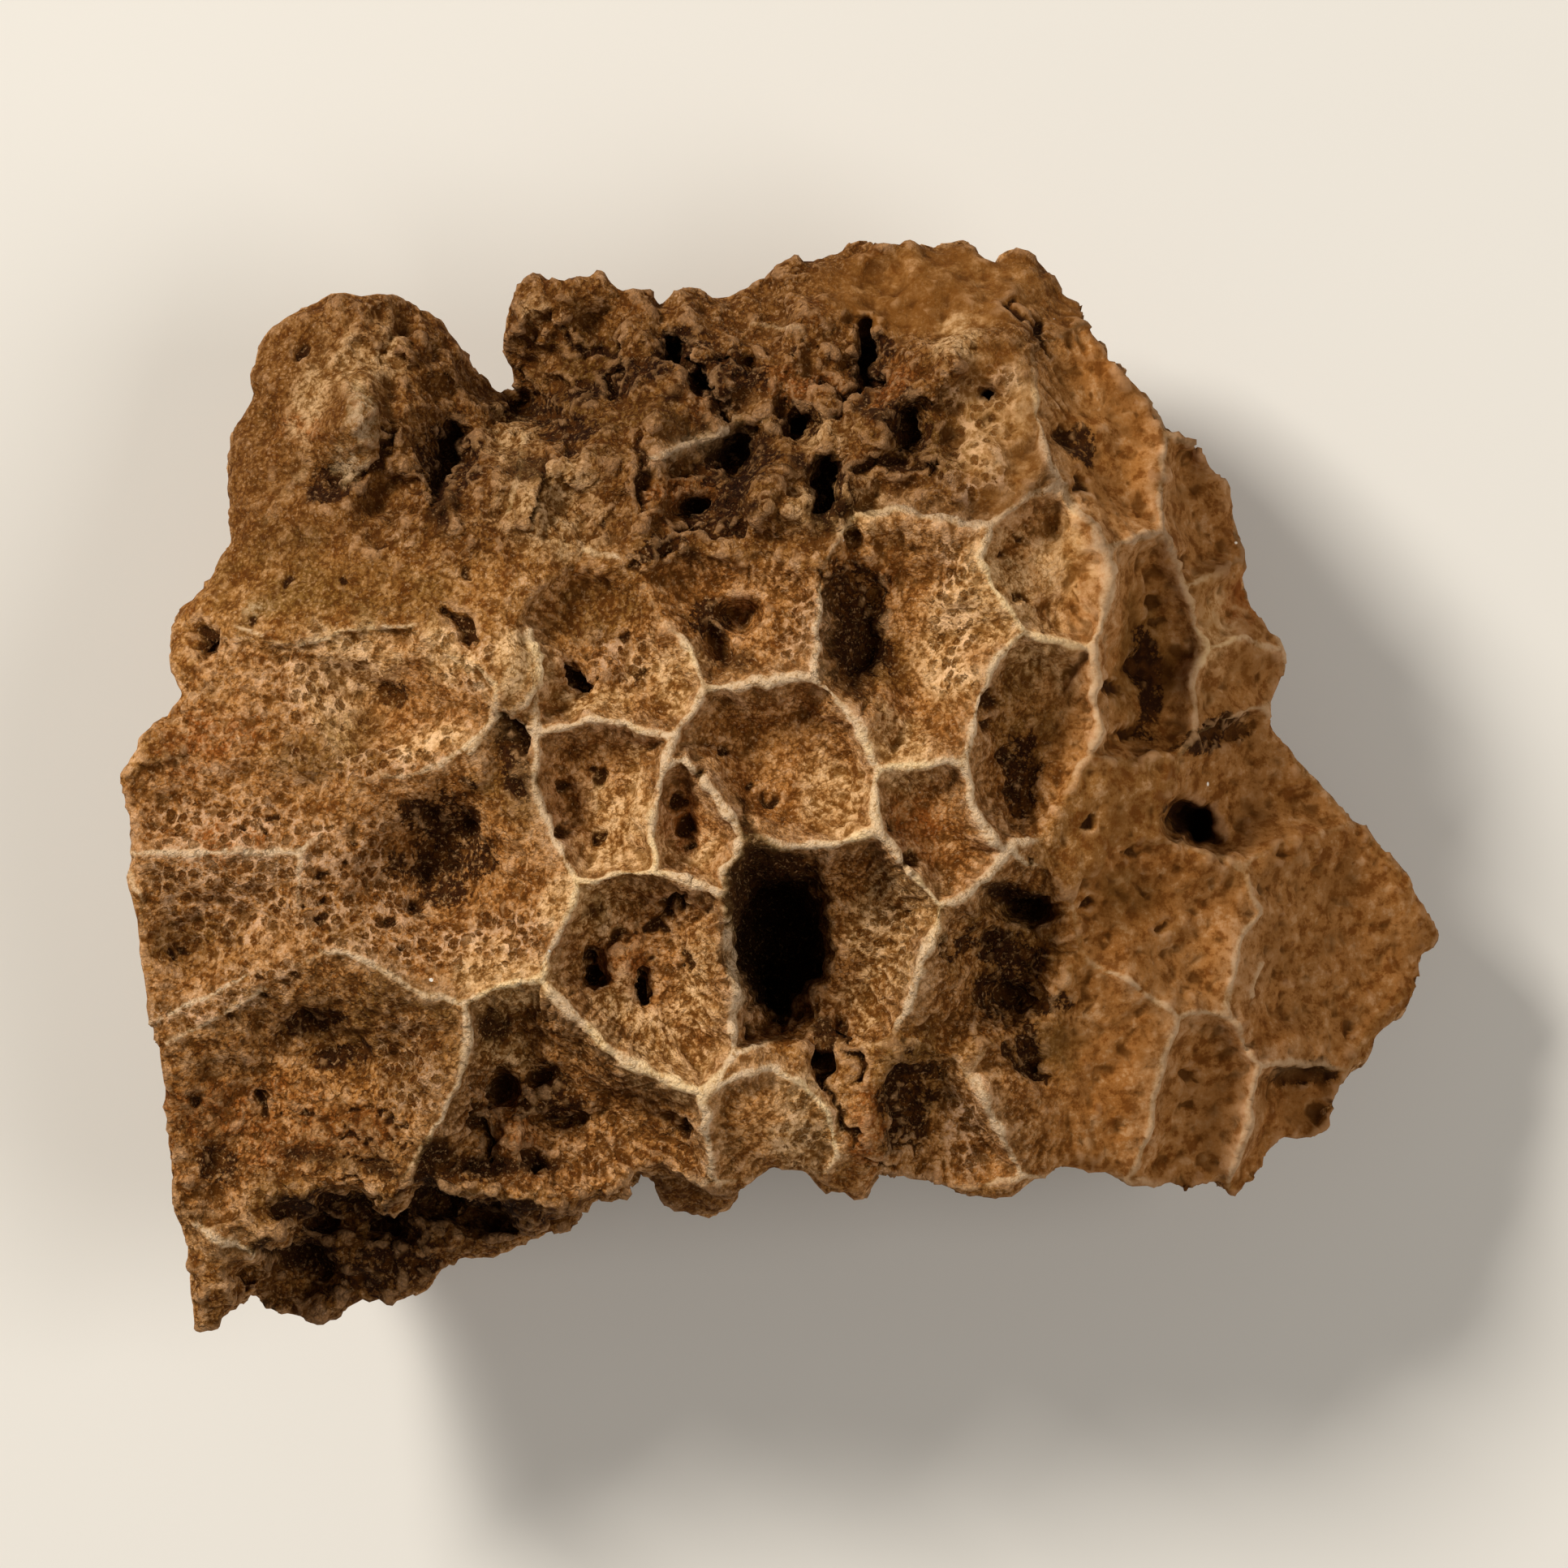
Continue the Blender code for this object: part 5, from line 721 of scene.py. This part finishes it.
def evaluated_mesh(obj):
    """A plain mesh of obj with its modifiers applied; obj itself is removed."""
    graph = bpy.context.evaluated_depsgraph_get()
    mesh = bpy.data.meshes.new_from_object(obj.evaluated_get(graph))
    bpy.data.objects.remove(obj)
    return mesh


def linked(name, data):
    obj = bpy.data.objects.new(name, data)
    bpy.context.scene.collection.objects.link(obj)
    return obj


def remeshed(mesh, voxel):
    obj = linked("even_faces", mesh)
    remesh = obj.modifiers.new("even faces", "REMESH")
    remesh.mode = "VOXEL"
    remesh.voxel_size = voxel
    return evaluated_mesh(obj)


def vectors(items, key):
    """What each of a mesh's items has under this key, as rows of three numbers."""
    flat = np.empty(len(items) * 3)
    items.foreach_get(key, flat)
    return flat.reshape(-1, 3)


def set_points(mesh, points):
    mesh.vertices.foreach_set("co", points.ravel())
    mesh.update()


def block():
    """The outline as a block of even height, meshed in small even faces."""
    curve = bpy.data.curves.new("outline", "CURVE")
    curve.dimensions = "2D"
    curve.fill_mode = "BOTH"
    curve.extrude = BLOCK_HEIGHT / 2
    spline = curve.splines.new("POLY")
    spline.points.add(len(OUTLINE) - 1)
    for point, (x, y) in zip(spline.points, OUTLINE):
        point.co = (x, y, 0, 1)
    spline.use_cyclic_u = True
    mesh = evaluated_mesh(linked("outline", curve))
    slab = bmesh.new()
    slab.from_mesh(mesh)
    bmesh.ops.remove_doubles(slab, verts=slab.verts, dist=0.0001)
    bmesh.ops.translate(slab, vec=(0, 0, BLOCK_HEIGHT / 2), verts=slab.verts)
    slab.to_mesh(mesh)
    slab.free()
    return remeshed(mesh, BLOCK_VOXEL)


def taper(level):
    return 1 - TAPER * (1 - level) ** 1.5


def sculpt(mesh):
    """Moves the block's points so that its top, its underside and its sides become the stone's."""
    points = vectors(mesh.vertices, "co")
    x, y = points[:, 0].copy(), points[:, 1].copy()
    level = np.clip(points[:, 2] / BLOCK_HEIGHT, 0, 1)
    cup = cups(x, y)
    top, under = top_height(x, y, cup), under_height(x, y, cup)
    points[:, 2] = under + (top - under) * level

    edge, _ = line_distance(x, y, OUTLINE, closed=True)
    side = (1 - ease(0, SIDE_BAND, edge)) * np.sin(math.pi * level) ** 0.5
    offset_x, offset_y = x - GROWTH_CENTRE[0], y - GROWTH_CENTRE[1]
    reach = np.hypot(offset_x, offset_y) + 0.01
    inset = 1 - COLUMN_INSET / reach
    column = cups(GROWTH_CENTRE[0] + offset_x * inset, GROWTH_CENTRE[1] + offset_y * inset)["share"]
    layers = rough(points * (0.35, 0.35, 2) + 20, 7)
    bulge = SIDE_ROUGHNESS * (0.7 * rough(points, 8) + 0.5 * layers) - COLUMN_DEPTH * column
    shrink = taper(level) + side * bulge / reach
    points[:, 0] = GROWTH_CENTRE[0] + offset_x * shrink
    points[:, 1] = GROWTH_CENTRE[1] + offset_y * shrink
    points[:, 2] = np.maximum(points[:, 2], 0)
    set_points(mesh, points)


def in_plan(points):
    """Each point's place on the block before its sides were tapered, and its level from foot to top."""
    middle = np.array(GROWTH_CENTRE)
    plan = points[:, :2].copy()
    level = np.ones(len(points))
    for _ in range(2):
        top = crest_height(plan[:, 0], plan[:, 1])
        under = base_height(plan[:, 0], plan[:, 1])
        level = np.clip((points[:, 2] - under) / (top - under), 0, 1)
        plan = middle + (points[:, :2] - middle) / taper(level)[:, None]
    return plan[:, 0], plan[:, 1], level


def standing_out(mesh, points):
    """How far each point stands proud of its neighbours (towards 1) or lies below them (towards 0)."""
    edges = np.empty(len(mesh.edges) * 2, dtype=np.int32)
    mesh.edges.foreach_get("vertices", edges)
    first, second = edges.reshape(-1, 2).T
    links = np.bincount(edges, minlength=len(points))
    smoothed = points
    for _ in range(3):
        total = [np.bincount(first, smoothed[second, axis], minlength=len(points))
                 + np.bincount(second, smoothed[first, axis], minlength=len(points)) for axis in range(3)]
        smoothed = np.column_stack(total) / np.maximum(links, 1)[:, None]
    stand = ((points - smoothed) * vectors(mesh.vertex_normals, "vector")).sum(axis=1)
    return np.clip(0.5 + stand / 0.3, 0, 1)


def seen_marks(points, x, y, aside, along, lift, lines):
    """Adds the pits, cracks and ridges seen in the photograph to the lift and to the pale lines.

    Returns how deep in a pit or a crack each point is.
    """
    pit = np.zeros(len(points))
    for radius, places in PITS.items():
        for px, py in places:
            near = np.hypot(x - px, y - py) < 2.4 * radius
            ragged = np.hypot(x[near] + aside[near] - px, y[near] + along[near] - py) / radius
            pit[near] = np.maximum(pit[near], 1 - ease(0.3, 1.15, ragged))
            lift[near] -= 0.9 * radius * (1 - ease(0.2, 1.25, ragged))
    for run, half, depth in CRACKS:
        distance, _ = line_distance(x + 1.4 * aside, y + 1.4 * along, run)
        groove = 1 - ease(0.3, 1.4, distance / half)
        lift -= 0.8 * depth * groove
        pit = np.maximum(pit, 0.9 * groove)
    broken_up = 0.35 + 0.65 * ease(-0.8, 0.3, grain(points, 2.4, 2, seed=13))
    for run, half, height in RIDGES:
        distance, _ = line_distance(x, y, run)
        lift += 0.45 * height * broken_up * np.exp(-(distance / (0.7 * half)) ** 2)
        closer = distance / (0.9 * half) < lines["line"]
        lines["pale"] = np.where(closer, height * broken_up, lines["pale"])
        lines["line"] = np.where(closer, distance / (0.9 * half), lines["line"])
    return pit


def side_relief(points, around, level, sideward, crumbs):
    """How far the broken sides are lifted, and how deep in a pore each point is.

    They show the tubes below the cups: upright ribs, crossed by thin floors.
    """
    upright = around * 36 + 0.5 * grain(points, 6, 2, seed=14)
    storey = points[:, 2] / 1.5 + 0.8 * grain(points, 6, 2, seed=15)
    first, second = cells(upright, storey, jitter=0.6, seed=5)
    pore = ease(0.06, 0.45, second - first)
    open_side = ease(-0.35, 0.35, grain(points, 9, 2, seed=16))
    lift = -0.42 * pore * open_side + 0.35 * grain(points, 3.5, 3, seed=17)
    broken = np.flatnonzero(sideward > 0)
    lift[broken] += 0.4 * facets(points[broken], 3.6, seed=4)
    lift += 0.35 * (0.55 - crumbs)
    return lift * (1 - 0.65 * ease(0.72, 0.98, level)), pore * open_side


def relief(mesh):
    """Adds the fine relief of the cups, the broken sides and the underside, and the masks for the colour."""
    points, normals = vectors(mesh.vertices, "co"), vectors(mesh.vertex_normals, "vector")
    x, y, level = in_plan(points)
    cup = cups(x, y)
    wall, whole, net, crumb = (cup[name] for name in ("wall", "whole", "net", "crumb"))
    up = normals[:, 2]
    topward = ease(0.05, 0.35, up + 0.6 * (level - 0.75))
    deep_wall = (hole_depth(points[:, 0], points[:, 1]) > 0.4) & (level > 0.3)
    topward = np.where(deep_wall, 1.0, topward)
    downward = ease(0.25, 0.6, -up) * (1 - topward)
    sideward = (1 - topward) * (1 - downward)
    in_cup = (cup["share"] > 0).astype(float)

    # ribs run down the wall of each cup, and pores make a net of the floors that are netted
    spacing = cup["reach"] * 2 * math.pi / np.maximum(cup["ribs"], 1)
    across = cup["turn"] * cup["ribs"] + 0.35 * grain(points, 2.6, 2, seed=3)
    patchy = ease(-0.5, 0.5, grain(points, 7, 2, seed=5) + 2.2 * net - 0.7)
    porous = in_cup * patchy * net * (1 - 0.7 * ease(3, 7, wall))
    rib = 0.5 - 0.5 * np.cos(2 * math.pi * across)
    rib_band = in_cup * ease(0.2, 0.6, wall) * (1 - ease(2.4, 4.6, wall))
    rib_band *= ease(0.42, 0.62, spacing) * (1 - ease(0.6, 0.8, net))
    rib_band *= 1 - 0.85 * ease(*RIBS_END, x)
    netting = lumps(points, 1, jitter=0.7, seed=6)

    crest = ease(0.05, 0.6, whole) * np.exp(-(wall / (0.2 + 0.08 * whole)) ** 2)
    wear = ease(-0.9, 0.2, grain(points, 3.2, 3, seed=8))
    crest *= 0.45 + 0.55 * wear
    crumbs = lumps(points, 1.5, seed=1)
    fine_crumbs = lumps(points, 0.8, seed=2)
    rubble = ease(*RUBBLE_BEGINS, y) * (1 - in_cup)
    shelf = np.zeros(len(points))
    for ring, *_ in SHELVES:
        shelf = np.maximum(shelf, in_ring(x, y, ring).astype(float))
    rubble = np.maximum(rubble, shelf)
    calm = smooth_zone(x, y)
    broken_rim = ease(-24, -30, y) * ease(-6, -14, x)
    crumbly = np.maximum(crumb, (0.22 * rubble + 0.12 * (1 - in_cup)) * (1 - 0.7 * calm))
    crumbly = np.maximum(crumbly, 0.7 * broken_rim)

    lift = 0.3 * porous * (0.5 - netting) + 0.12 * rib_band * (rib - 0.5) * (1 + 2.5 * crumb)
    lift += 0.3 * crest + 0.14 * grain(points, 1.1, 3, seed=7) + 0.22 * grain(points, 3, 3, seed=9)
    inner = np.maximum(ease(0.5, 2.5, wall), 1 - ease(0.1, 0.5, whole))
    lift += crumbly * inner * (0.6 * (0.55 - crumbs) + 0.35 * (0.5 - fine_crumbs))
    lift += crumbly * inner * 0.5 * grain(points, 2.2, 3, seed=10)
    broken = np.flatnonzero(rubble * (1 - calm) * (1 - shelf) > 0)
    bent = points[broken] + 0.4 * grain(points[broken], 1.2, 2, seed=33)[:, None]
    lift[broken] += 0.22 * (rubble * (1 - calm))[broken] * facets(bent, 1.6, seed=9)

    lines = {"line": wall / (0.21 + 0.12 * whole), "pale": whole * (0.55 + 0.45 * wear)}
    aside, along = (0.32 * grain(points, 0.9, 2, seed=seed) for seed in (11, 12))
    pit = seen_marks(points, x, y, aside, along, lift, lines)
    around = np.arctan2(points[:, 1] - GROWTH_CENTRE[1], points[:, 0] - GROWTH_CENTRE[0])
    side_lift, side_pore = side_relief(points, around, level, sideward, crumbs)

    # the underside shows the same tubes cut across
    under_lift = 0.4 * whole * np.exp(-(wall / 0.7) ** 2) * in_cup
    under_lift += 0.3 * grain(points, 3, 3, seed=18) + 0.4 * (0.55 - crumbs)

    standing = ease(0, 0.8, points[:, 2])
    total = topward * lift + sideward * side_lift + downward * under_lift
    points += normals * (total * standing)[:, None]
    points[:, 2] = np.maximum(points[:, 2], 0)
    set_points(mesh, points)

    below = crest_height(points[:, 0], points[:, 1]) - points[:, 2]
    # the painted shade of a hole is moved towards the lump's middle line, by more the further left it lies
    hole = hole_depth(points[:, 0] + 2 * aside, points[:, 1] + 2 * around)
    uneven = 0.9 * grain(points, 2.4, 3, seed=28)
    # deep marks painted shade: near black low in the deep cups and in the holes
    deep = ease(6, 13, below + uneven) * (level > 0.25) * topward * in_cup
    deep = np.maximum(deep, ease(0.9, 5, hole + uneven) * (hole > 0.3) * (level > 0.2))

    frayed = 0.35 * grain(points, 2, 3, seed=20)

    def patches(places):
        mask = np.zeros(len(points))
        for place in places:
            mask = np.maximum(mask, 1 - ease(0.45, 1.25, ellipse_reach(x, y, place) + frayed))
        return mask * topward

    # dark stains together with painted shade
    stain_and_shade = patches(STAINS_AND_SHADE)
    masks = {
        "line": np.minimum(lines["line"], 6), "pale": lines["pale"] * topward, "deep": deep,
        "pit": pit * topward * (1 - 0.6 * ease(*PITS_FADE, x)),
        "sunk": ease(0.6, 5.4, below + uneven) * topward, "cup": in_cup * topward,
        "pore": side_pore * sideward, "porous": np.maximum(0.4 * porous * topward, patches(NETTED)),
        "rubble": rubble * topward, "rib": rib_band * (1 - rib) * (0.4 + crumb) * topward,
        "crumb": np.maximum(np.maximum(crumbly * topward, 0.4 * sideward), 0.7 * stain_and_shade),
        "blurred": np.maximum(ease(*BLUR_BEGINS, x), 0.7 * calm * ease(-10, 0, x)) * topward,
        "crust": patches(WHITE_CRUST), "red": patches(RED_STONE), "olive_and_shade": patches(OLIVE_STONE_AND_SHADE),
        "pale_and_lit": patches(PALE_STONE_AND_PAINTED_LIGHT), "flank_shade": ease(*FLANK_SHADE_BEGINS, x) * topward,
        "stain_and_shade": stain_and_shade, "stand": standing_out(mesh, points),
    }
    for name, values in masks.items():
        mesh.attributes.new(name, "FLOAT", "POINT").data.foreach_set("value", values.astype(np.float32))
    return topward > 0.5


def fewer_faces(obj, kept, group, spared):
    """Thins out the faces inside the vertex group, or outside it, until a share of all of them is left."""
    fewer = obj.modifiers.new("fewer faces", "DECIMATE")
    fewer.ratio = min(kept, 1)
    fewer.vertex_group = group.name
    fewer.invert_vertex_group = spared
    fewer.use_collapse_triangulate = True


def stone():
    mesh = block()
    sculpt(mesh)
    mesh = remeshed(mesh, STONE_VOXEL)
    on_top = relief(mesh)
    obj = linked("stone", mesh)
    top = obj.vertex_groups.new(name="top")
    top.add(np.flatnonzero(on_top).tolist(), 1, "REPLACE")
    all_triangles = 2 * len(mesh.polygons)
    top_triangles = all_triangles * on_top.mean()
    after_first = top_triangles + min(OTHER_TRIANGLES, all_triangles - top_triangles)
    fewer_faces(obj, after_first / all_triangles, top, True)
    fewer_faces(obj, (TOP_TRIANGLES + OTHER_TRIANGLES) / after_first, top, False)
    mesh = evaluated_mesh(obj)
    points = vectors(mesh.vertices, "co")
    points[:, 2] = np.maximum(points[:, 2], 0)
    set_points(mesh, points)
    mesh.transform(Matrix.Scale(MM, 4))
    mesh.shade_smooth()
    return linked("coral_stone", mesh)


class Nodes:
    """Builds a material's nodes: a number, a colour, or an output of another node can go into any input."""

    def __init__(self, name):
        self.material = bpy.data.materials.new(name)
        self.material.use_nodes = True
        self.tree = self.material.node_tree
        self.shader = self.tree.nodes["Principled BSDF"]

    def fill(self, socket, value):
        if isinstance(value, bpy.types.NodeSocket):
            self.tree.links.new(value, socket)
        elif socket.type == "RGBA":
            socket.default_value = (*value, 1) if isinstance(value, tuple) else (value, value, value, 1)
        else:
            socket.default_value = value

    def add(self, kind, out=0, settings=None, **inputs):
        made = self.tree.nodes.new("ShaderNode" + kind)
        for key, value in (settings or {}).items():
            setattr(made, key, value)
        for key, value in inputs.items():
            self.fill(made.inputs[key.replace("_", " ")], value)
        return made.outputs[out]

    def mask(self, name):
        return self.add("Attribute", out=2, settings={"attribute_name": name})

    def maths(self, how, *values, kind="Math"):
        made = self.tree.nodes.new("ShaderNode" + kind)
        made.operation = how
        for socket, value in zip(made.inputs, values):
            self.fill(socket, value)
        return made.outputs[0]

    def times(self, *values):
        result = values[0]
        for value in values[1:]:
            result = self.maths("MULTIPLY", result, value)
        return result

    def step(self, value, low, high, bottom=0, top=1):
        return self.add("MapRange", settings={"interpolation_type": "SMOOTHSTEP"}, Value=value, From_Min=low,
                        From_Max=high, To_Min=bottom, To_Max=top)

    def mix(self, share, first, second, how="MIX"):
        made = self.tree.nodes.new("ShaderNodeMix")
        made.data_type = "RGBA"
        made.blend_type = how
        for key, value in ((0, share), (6, first), (7, second)):
            self.fill(made.inputs[key], value)
        return made.outputs[2]

    def noise(self, place, size, detail=3, roughness=0.55, distortion=0):
        return self.add("TexNoise", Vector=place, Scale=1 / size, Detail=detail, Roughness=roughness,
                        Distortion=distortion)

    def voronoi(self, place, size, feature="F1", out=0, jitter=1):
        return self.add("TexVoronoi", out=out, settings={"feature": feature}, Vector=place, Scale=1 / size,
                        Randomness=jitter)


def stone_look():
    n = Nodes("coral_stone_look")
    own_place = n.add("TexCoord", out=3)
    place = n.add("VectorMath", settings={"operation": "SCALE"}, Vector=own_place, Scale=1 / MM)
    broad = n.noise(place, 14, 3)
    blotch = n.noise(place, 4.5, 4, 0.6, 0.4)
    mottle = n.noise(place, 1.3, 5, 0.7)
    speckle = n.noise(place, 0.36, 3, 0.7)
    line, pale, deep, sunk, pit, stand = map(n.mask, ("line", "pale", "deep", "sunk", "pit", "stand"))
    crust, red, olive_and_shade, rubble, pore = map(n.mask, ("crust", "red", "olive_and_shade", "rubble", "pore"))
    stain_and_shade, crumb, porous, cup, blurred = map(n.mask, ("stain_and_shade", "crumb", "porous", "cup", "blurred"))
    rib, pale_and_lit, flank_shade = map(n.mask, ("rib", "pale_and_lit", "flank_shade"))
    off_centre = n.maths("SUBTRACT", mottle, 0.5)
    bent = n.maths("MULTIPLY_ADD", mottle.node.outputs[1], (1.4, 1.4, 1.4), place, kind="VectorMath")

    def within(zone, pattern, *steps):
        return n.times(zone, n.step(pattern, *steps))

    def plus(*values):
        return n.maths("ADD", *values)

    # grains of stone all over, with dark specks where three of them meet
    grain_near = plus(n.voronoi(bent, 0.36), n.times(off_centre, 1.1))
    grain_tops = n.step(grain_near, 0.36, 0.02)
    specks = n.step(grain_near, 0.44, 0.72)
    plain = n.step(blurred, 0, 1, 1, 0.12)

    # larger cells: open pores in a pale net where a cup's floor is netted, and crumbs where it is broken
    netted = n.step(porous, 0.1, 0.8)
    cell_near = plus(n.voronoi(bent, 0.98, jitter=0.9), n.times(off_centre, 0.9))
    edge_near = n.voronoi(bent, 0.98, "DISTANCE_TO_EDGE", jitter=0.9)
    opening = n.times(n.step(cell_near, 0.46, 0.34), netted, n.step(speckle, 0.64, 0.5))
    pale_net = within(netted, plus(edge_near, n.times(off_centre, 0.25)), 0.15, 0.04)
    gaps = within(n.step(cell_near, 0.46, 0.72), crumb, 0.08, 0.6)

    spread = plus(n.times(stain_and_shade, 0.55), plus(n.times(off_centre, 1.7), n.times(grain_near, 0.8)))
    # painted light: a pale band on the slopes next to walls that are whole
    slope = n.times(n.step(line, 6, 0.5), n.step(pale, 0.1, 0.9), n.step(mottle, 0.6, 0.4, 0.1, 0.4))
    crest = within(n.step(plus(line, n.times(off_centre, 2)), 1.15, 0.25), pale, 0.05, 0.65)
    crest = n.times(crest, n.step(speckle, 0.66, 0.44, 0.5, 0.95), n.step(blurred, 0, 1, 1, 0.6))

    colour = n.mix(n.step(blotch, 0.36, 0.64), (0.34, 0.155, 0.05), (0.47, 0.232, 0.088))
    for share, tint in (
        # weathered stone, a little brighter and redder in the cups than round them, with patches of other
        # stone, and painted shade where the surface lies low
        (n.step(broad, 0.42, 0.6, 0, 0.5), (0.31, 0.122, 0.036)),
        (n.step(cup, 0.7, 0.2, 0, 0.55), (0.21, 0.105, 0.034)),
        (n.step(mottle, 0.48, 0.62, 0, 0.88), (0.15, 0.052, 0.013)),
        (n.step(mottle, 0.47, 0.34, 0, 0.68), (0.58, 0.335, 0.155)),
        (within(rubble, blotch, 0.34, 0.6, 0.2, 0.75), (0.14, 0.062, 0.016)),
        # olive stone with painted shade
        (within(olive_and_shade, blotch, 0.36, 0.6, 0.2, 0.7), (0.125, 0.074, 0.019)),
        (within(red, mottle, 0.36, 0.6, 0.2, 0.7), (0.26, 0.072, 0.018)),
        # painted shade: darker mottling the lower a place lies under the crests
        (within(sunk, mottle, 0.36, 0.62, 0, 0.25), (0.15, 0.062, 0.017)),
        (within(pore, speckle, 0.3, 0.6, 0.35, 0.75), (0.125, 0.046, 0.013)),
        # pale stone with painted light
        (within(pale_and_lit, mottle, 0.64, 0.4, 0.15, 0.65), (0.56, 0.38, 0.215)),
        # grains, pores and crumbs
        (n.times(specks, plain, n.step(crumb, 0, 0.5, 0.65, 0.9)), (0.055, 0.019, 0.005)),
        (n.times(grain_tops, plain, n.step(blotch, 0.36, 0.6, 0.2, 0.55)), (0.62, 0.37, 0.19)),
        (within(pale_net, mottle, 0.62, 0.42, 0.15, 0.7), (0.62, 0.38, 0.205)),
        (n.times(opening, 0.85), (0.06, 0.02, 0.005)),
        (n.times(gaps, 0.55), (0.06, 0.025, 0.007)),
        (within(rib, mottle, 0.36, 0.54, 0.35, 0.95), (0.085, 0.03, 0.008)),
        (within(blurred, blotch, 0.46, 0.62, 0, 0.55), (0.17, 0.072, 0.02)),
        # dark stains with painted shade, and painted shade where a place lies lower than its neighbours, with
        # a painted highlight where it stands higher
        (n.times(stain_and_shade, 0.68), (0.07, 0.03, 0.008)),
        (n.times(n.step(spread, 0.5, 0.8), n.step(stain_and_shade, 0.05, 0.45), 0.94), (0.014, 0.005, 0.002)),
        # painted shade where a place lies below its neighbours, and a painted highlight where it stands proud
        (n.step(stand, 0.46, 0.1, 0, 0.8), (0.07, 0.028, 0.007)),
        (n.step(stand, 0.6, 0.95, 0, 0.35), (0.6, 0.36, 0.19)),
        # painted light brightens the slopes beside the walls, and the crests of the walls are thin pale lines
        (slope, (0.6, 0.37, 0.19)),
        (crest, (0.63, 0.45, 0.235)),
        (within(crust, n.noise(place, 0.9, 4, 0.7), 0.42, 0.58, 0.05, 0.8), (0.56, 0.4, 0.21)),
        # painted shade: the pits and cracks near black
        (within(n.step(pit, 0.15, 0.75), speckle, 0.3, 0.6, 0.8, 0.97), (0.018, 0.007, 0.002)),
        # painted shade: near black low in the deep cups and in the holes
        (n.times(deep, 0.95), (0.013, 0.005, 0.002)),
        (within(plain, speckle, 0.52, 0.72, 0, 0.5), (0.08, 0.032, 0.01)),
        (within(plain, speckle, 0.46, 0.3, 0, 0.35), (0.66, 0.42, 0.23)),
    ):
        colour = n.mix(share, colour, tint)

    # painted shade darkens the right flank and the rest is a little brighter; the rubble is duller, pale
    # patches with painted light brighter and olive ones with painted shade darker
    for share, factor in (
        (1, n.mix(flank_shade, (1.15, 1.1, 0.95), (0.8, 0.755, 0.69))),
        (rubble, (0.72, 0.715, 0.76)),
        (pale_and_lit, (1.31, 1.29, 1.1)),
        (n.times(olive_and_shade, 0.9), (0.79, 0.775, 0.77)),
    ):
        colour = n.mix(share, colour, n.mix(1, colour, factor, "MULTIPLY"))

    # dark stone is redder and pale stone greyer
    red_part, green_part, blue_part = n.add("SeparateColor", Color=colour).node.outputs
    more_red = n.times(n.maths("POWER", red_part, 0.9), 0.4 ** 0.1)
    less_blue = n.times(n.maths("POWER", blue_part, 1.3), 0.07 ** -0.3)
    colour = n.add("CombineColor", Red=more_red, Green=green_part, Blue=less_blue)

    # painted glints: a few white specks with a smoother surface, none where the holes are painted dark
    few_cells = n.step(n.voronoi(place, 0.75, out=1), 0.955, 0.965)
    spark = n.times(few_cells, n.step(n.voronoi(place, 0.75), 0.26, 0.16), n.step(deep, 0.1, 0.3, 1, 0))
    n.fill(n.shader.inputs["Base Color"], n.mix(n.times(spark, 0.85), colour, (0.92, 0.88, 0.8)))
    n.fill(n.shader.inputs["Roughness"], n.mix(spark, n.step(mottle, 0.35, 0.65, 0.78, 0.94), 0.25))
    n.shader.inputs["Specular IOR Level"].default_value = 0.08

    height = n.times(off_centre, 0.6)
    for share, amount in ((grain_near, -0.16), (opening, -0.2), (gaps, -0.25), (speckle, 0.22)):
        height = plus(height, n.times(share, amount))
    bump = n.add("Bump", Strength=0.9, Distance=MM, Height=n.times(height, plain))
    n.fill(n.shader.inputs["Normal"], bump)
    return n.material


def floor():
    n = Nodes("pale_floor")
    n.shader.inputs["Base Color"].default_value = FLOOR_COLOUR
    n.shader.inputs["Roughness"].default_value = FLOOR_ROUGHNESS
    mesh = bpy.data.meshes.new("floor")
    plane = bmesh.new()
    bmesh.ops.create_grid(plane, x_segments=1, y_segments=1, size=FLOOR_SIZE)
    plane.to_mesh(mesh)
    plane.free()
    mesh.materials.append(n.material)
    obj = linked("floor", mesh)


def soft_light(name, place, side, watts, colour):
    """A square light that faces the middle of the lump."""
    data = bpy.data.lights.new(name, "AREA")
    data.size = side
    data.energy = watts
    data.color = colour
    aim = Vector(LIGHT_AIM) - Vector(place)
    turned = aim.to_track_quat("-Z", "Y").to_matrix().to_4x4()
    linked(name, data).matrix_world = Matrix.Translation(place) @ turned


def light_and_camera():
    for light in LIGHTS:
        soft_light(*light)
    world = bpy.data.worlds.new("studio")
    world.use_nodes = True
    world.node_tree.nodes["Background"].inputs["Color"].default_value = WORLD_COLOUR
    world.node_tree.nodes["Background"].inputs["Strength"].default_value = WORLD_STRENGTH
    bpy.context.scene.world = world
    bpy.context.scene.view_settings.view_transform = "Standard"

    data = bpy.data.cameras.new("camera")
    data.sensor_width = SENSOR_WIDTH
    data.lens = LENS
    camera = linked("camera", data)
    camera.location = (0, 0, (CUP_LEVEL + VIEW_WIDTH * LENS / SENSOR_WIDTH) * MM)
    bpy.context.scene.camera = camera


obj = stone()
obj.data.materials.append(stone_look())
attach(obj, "root")
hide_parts(NODE)
floor()
light_and_camera()
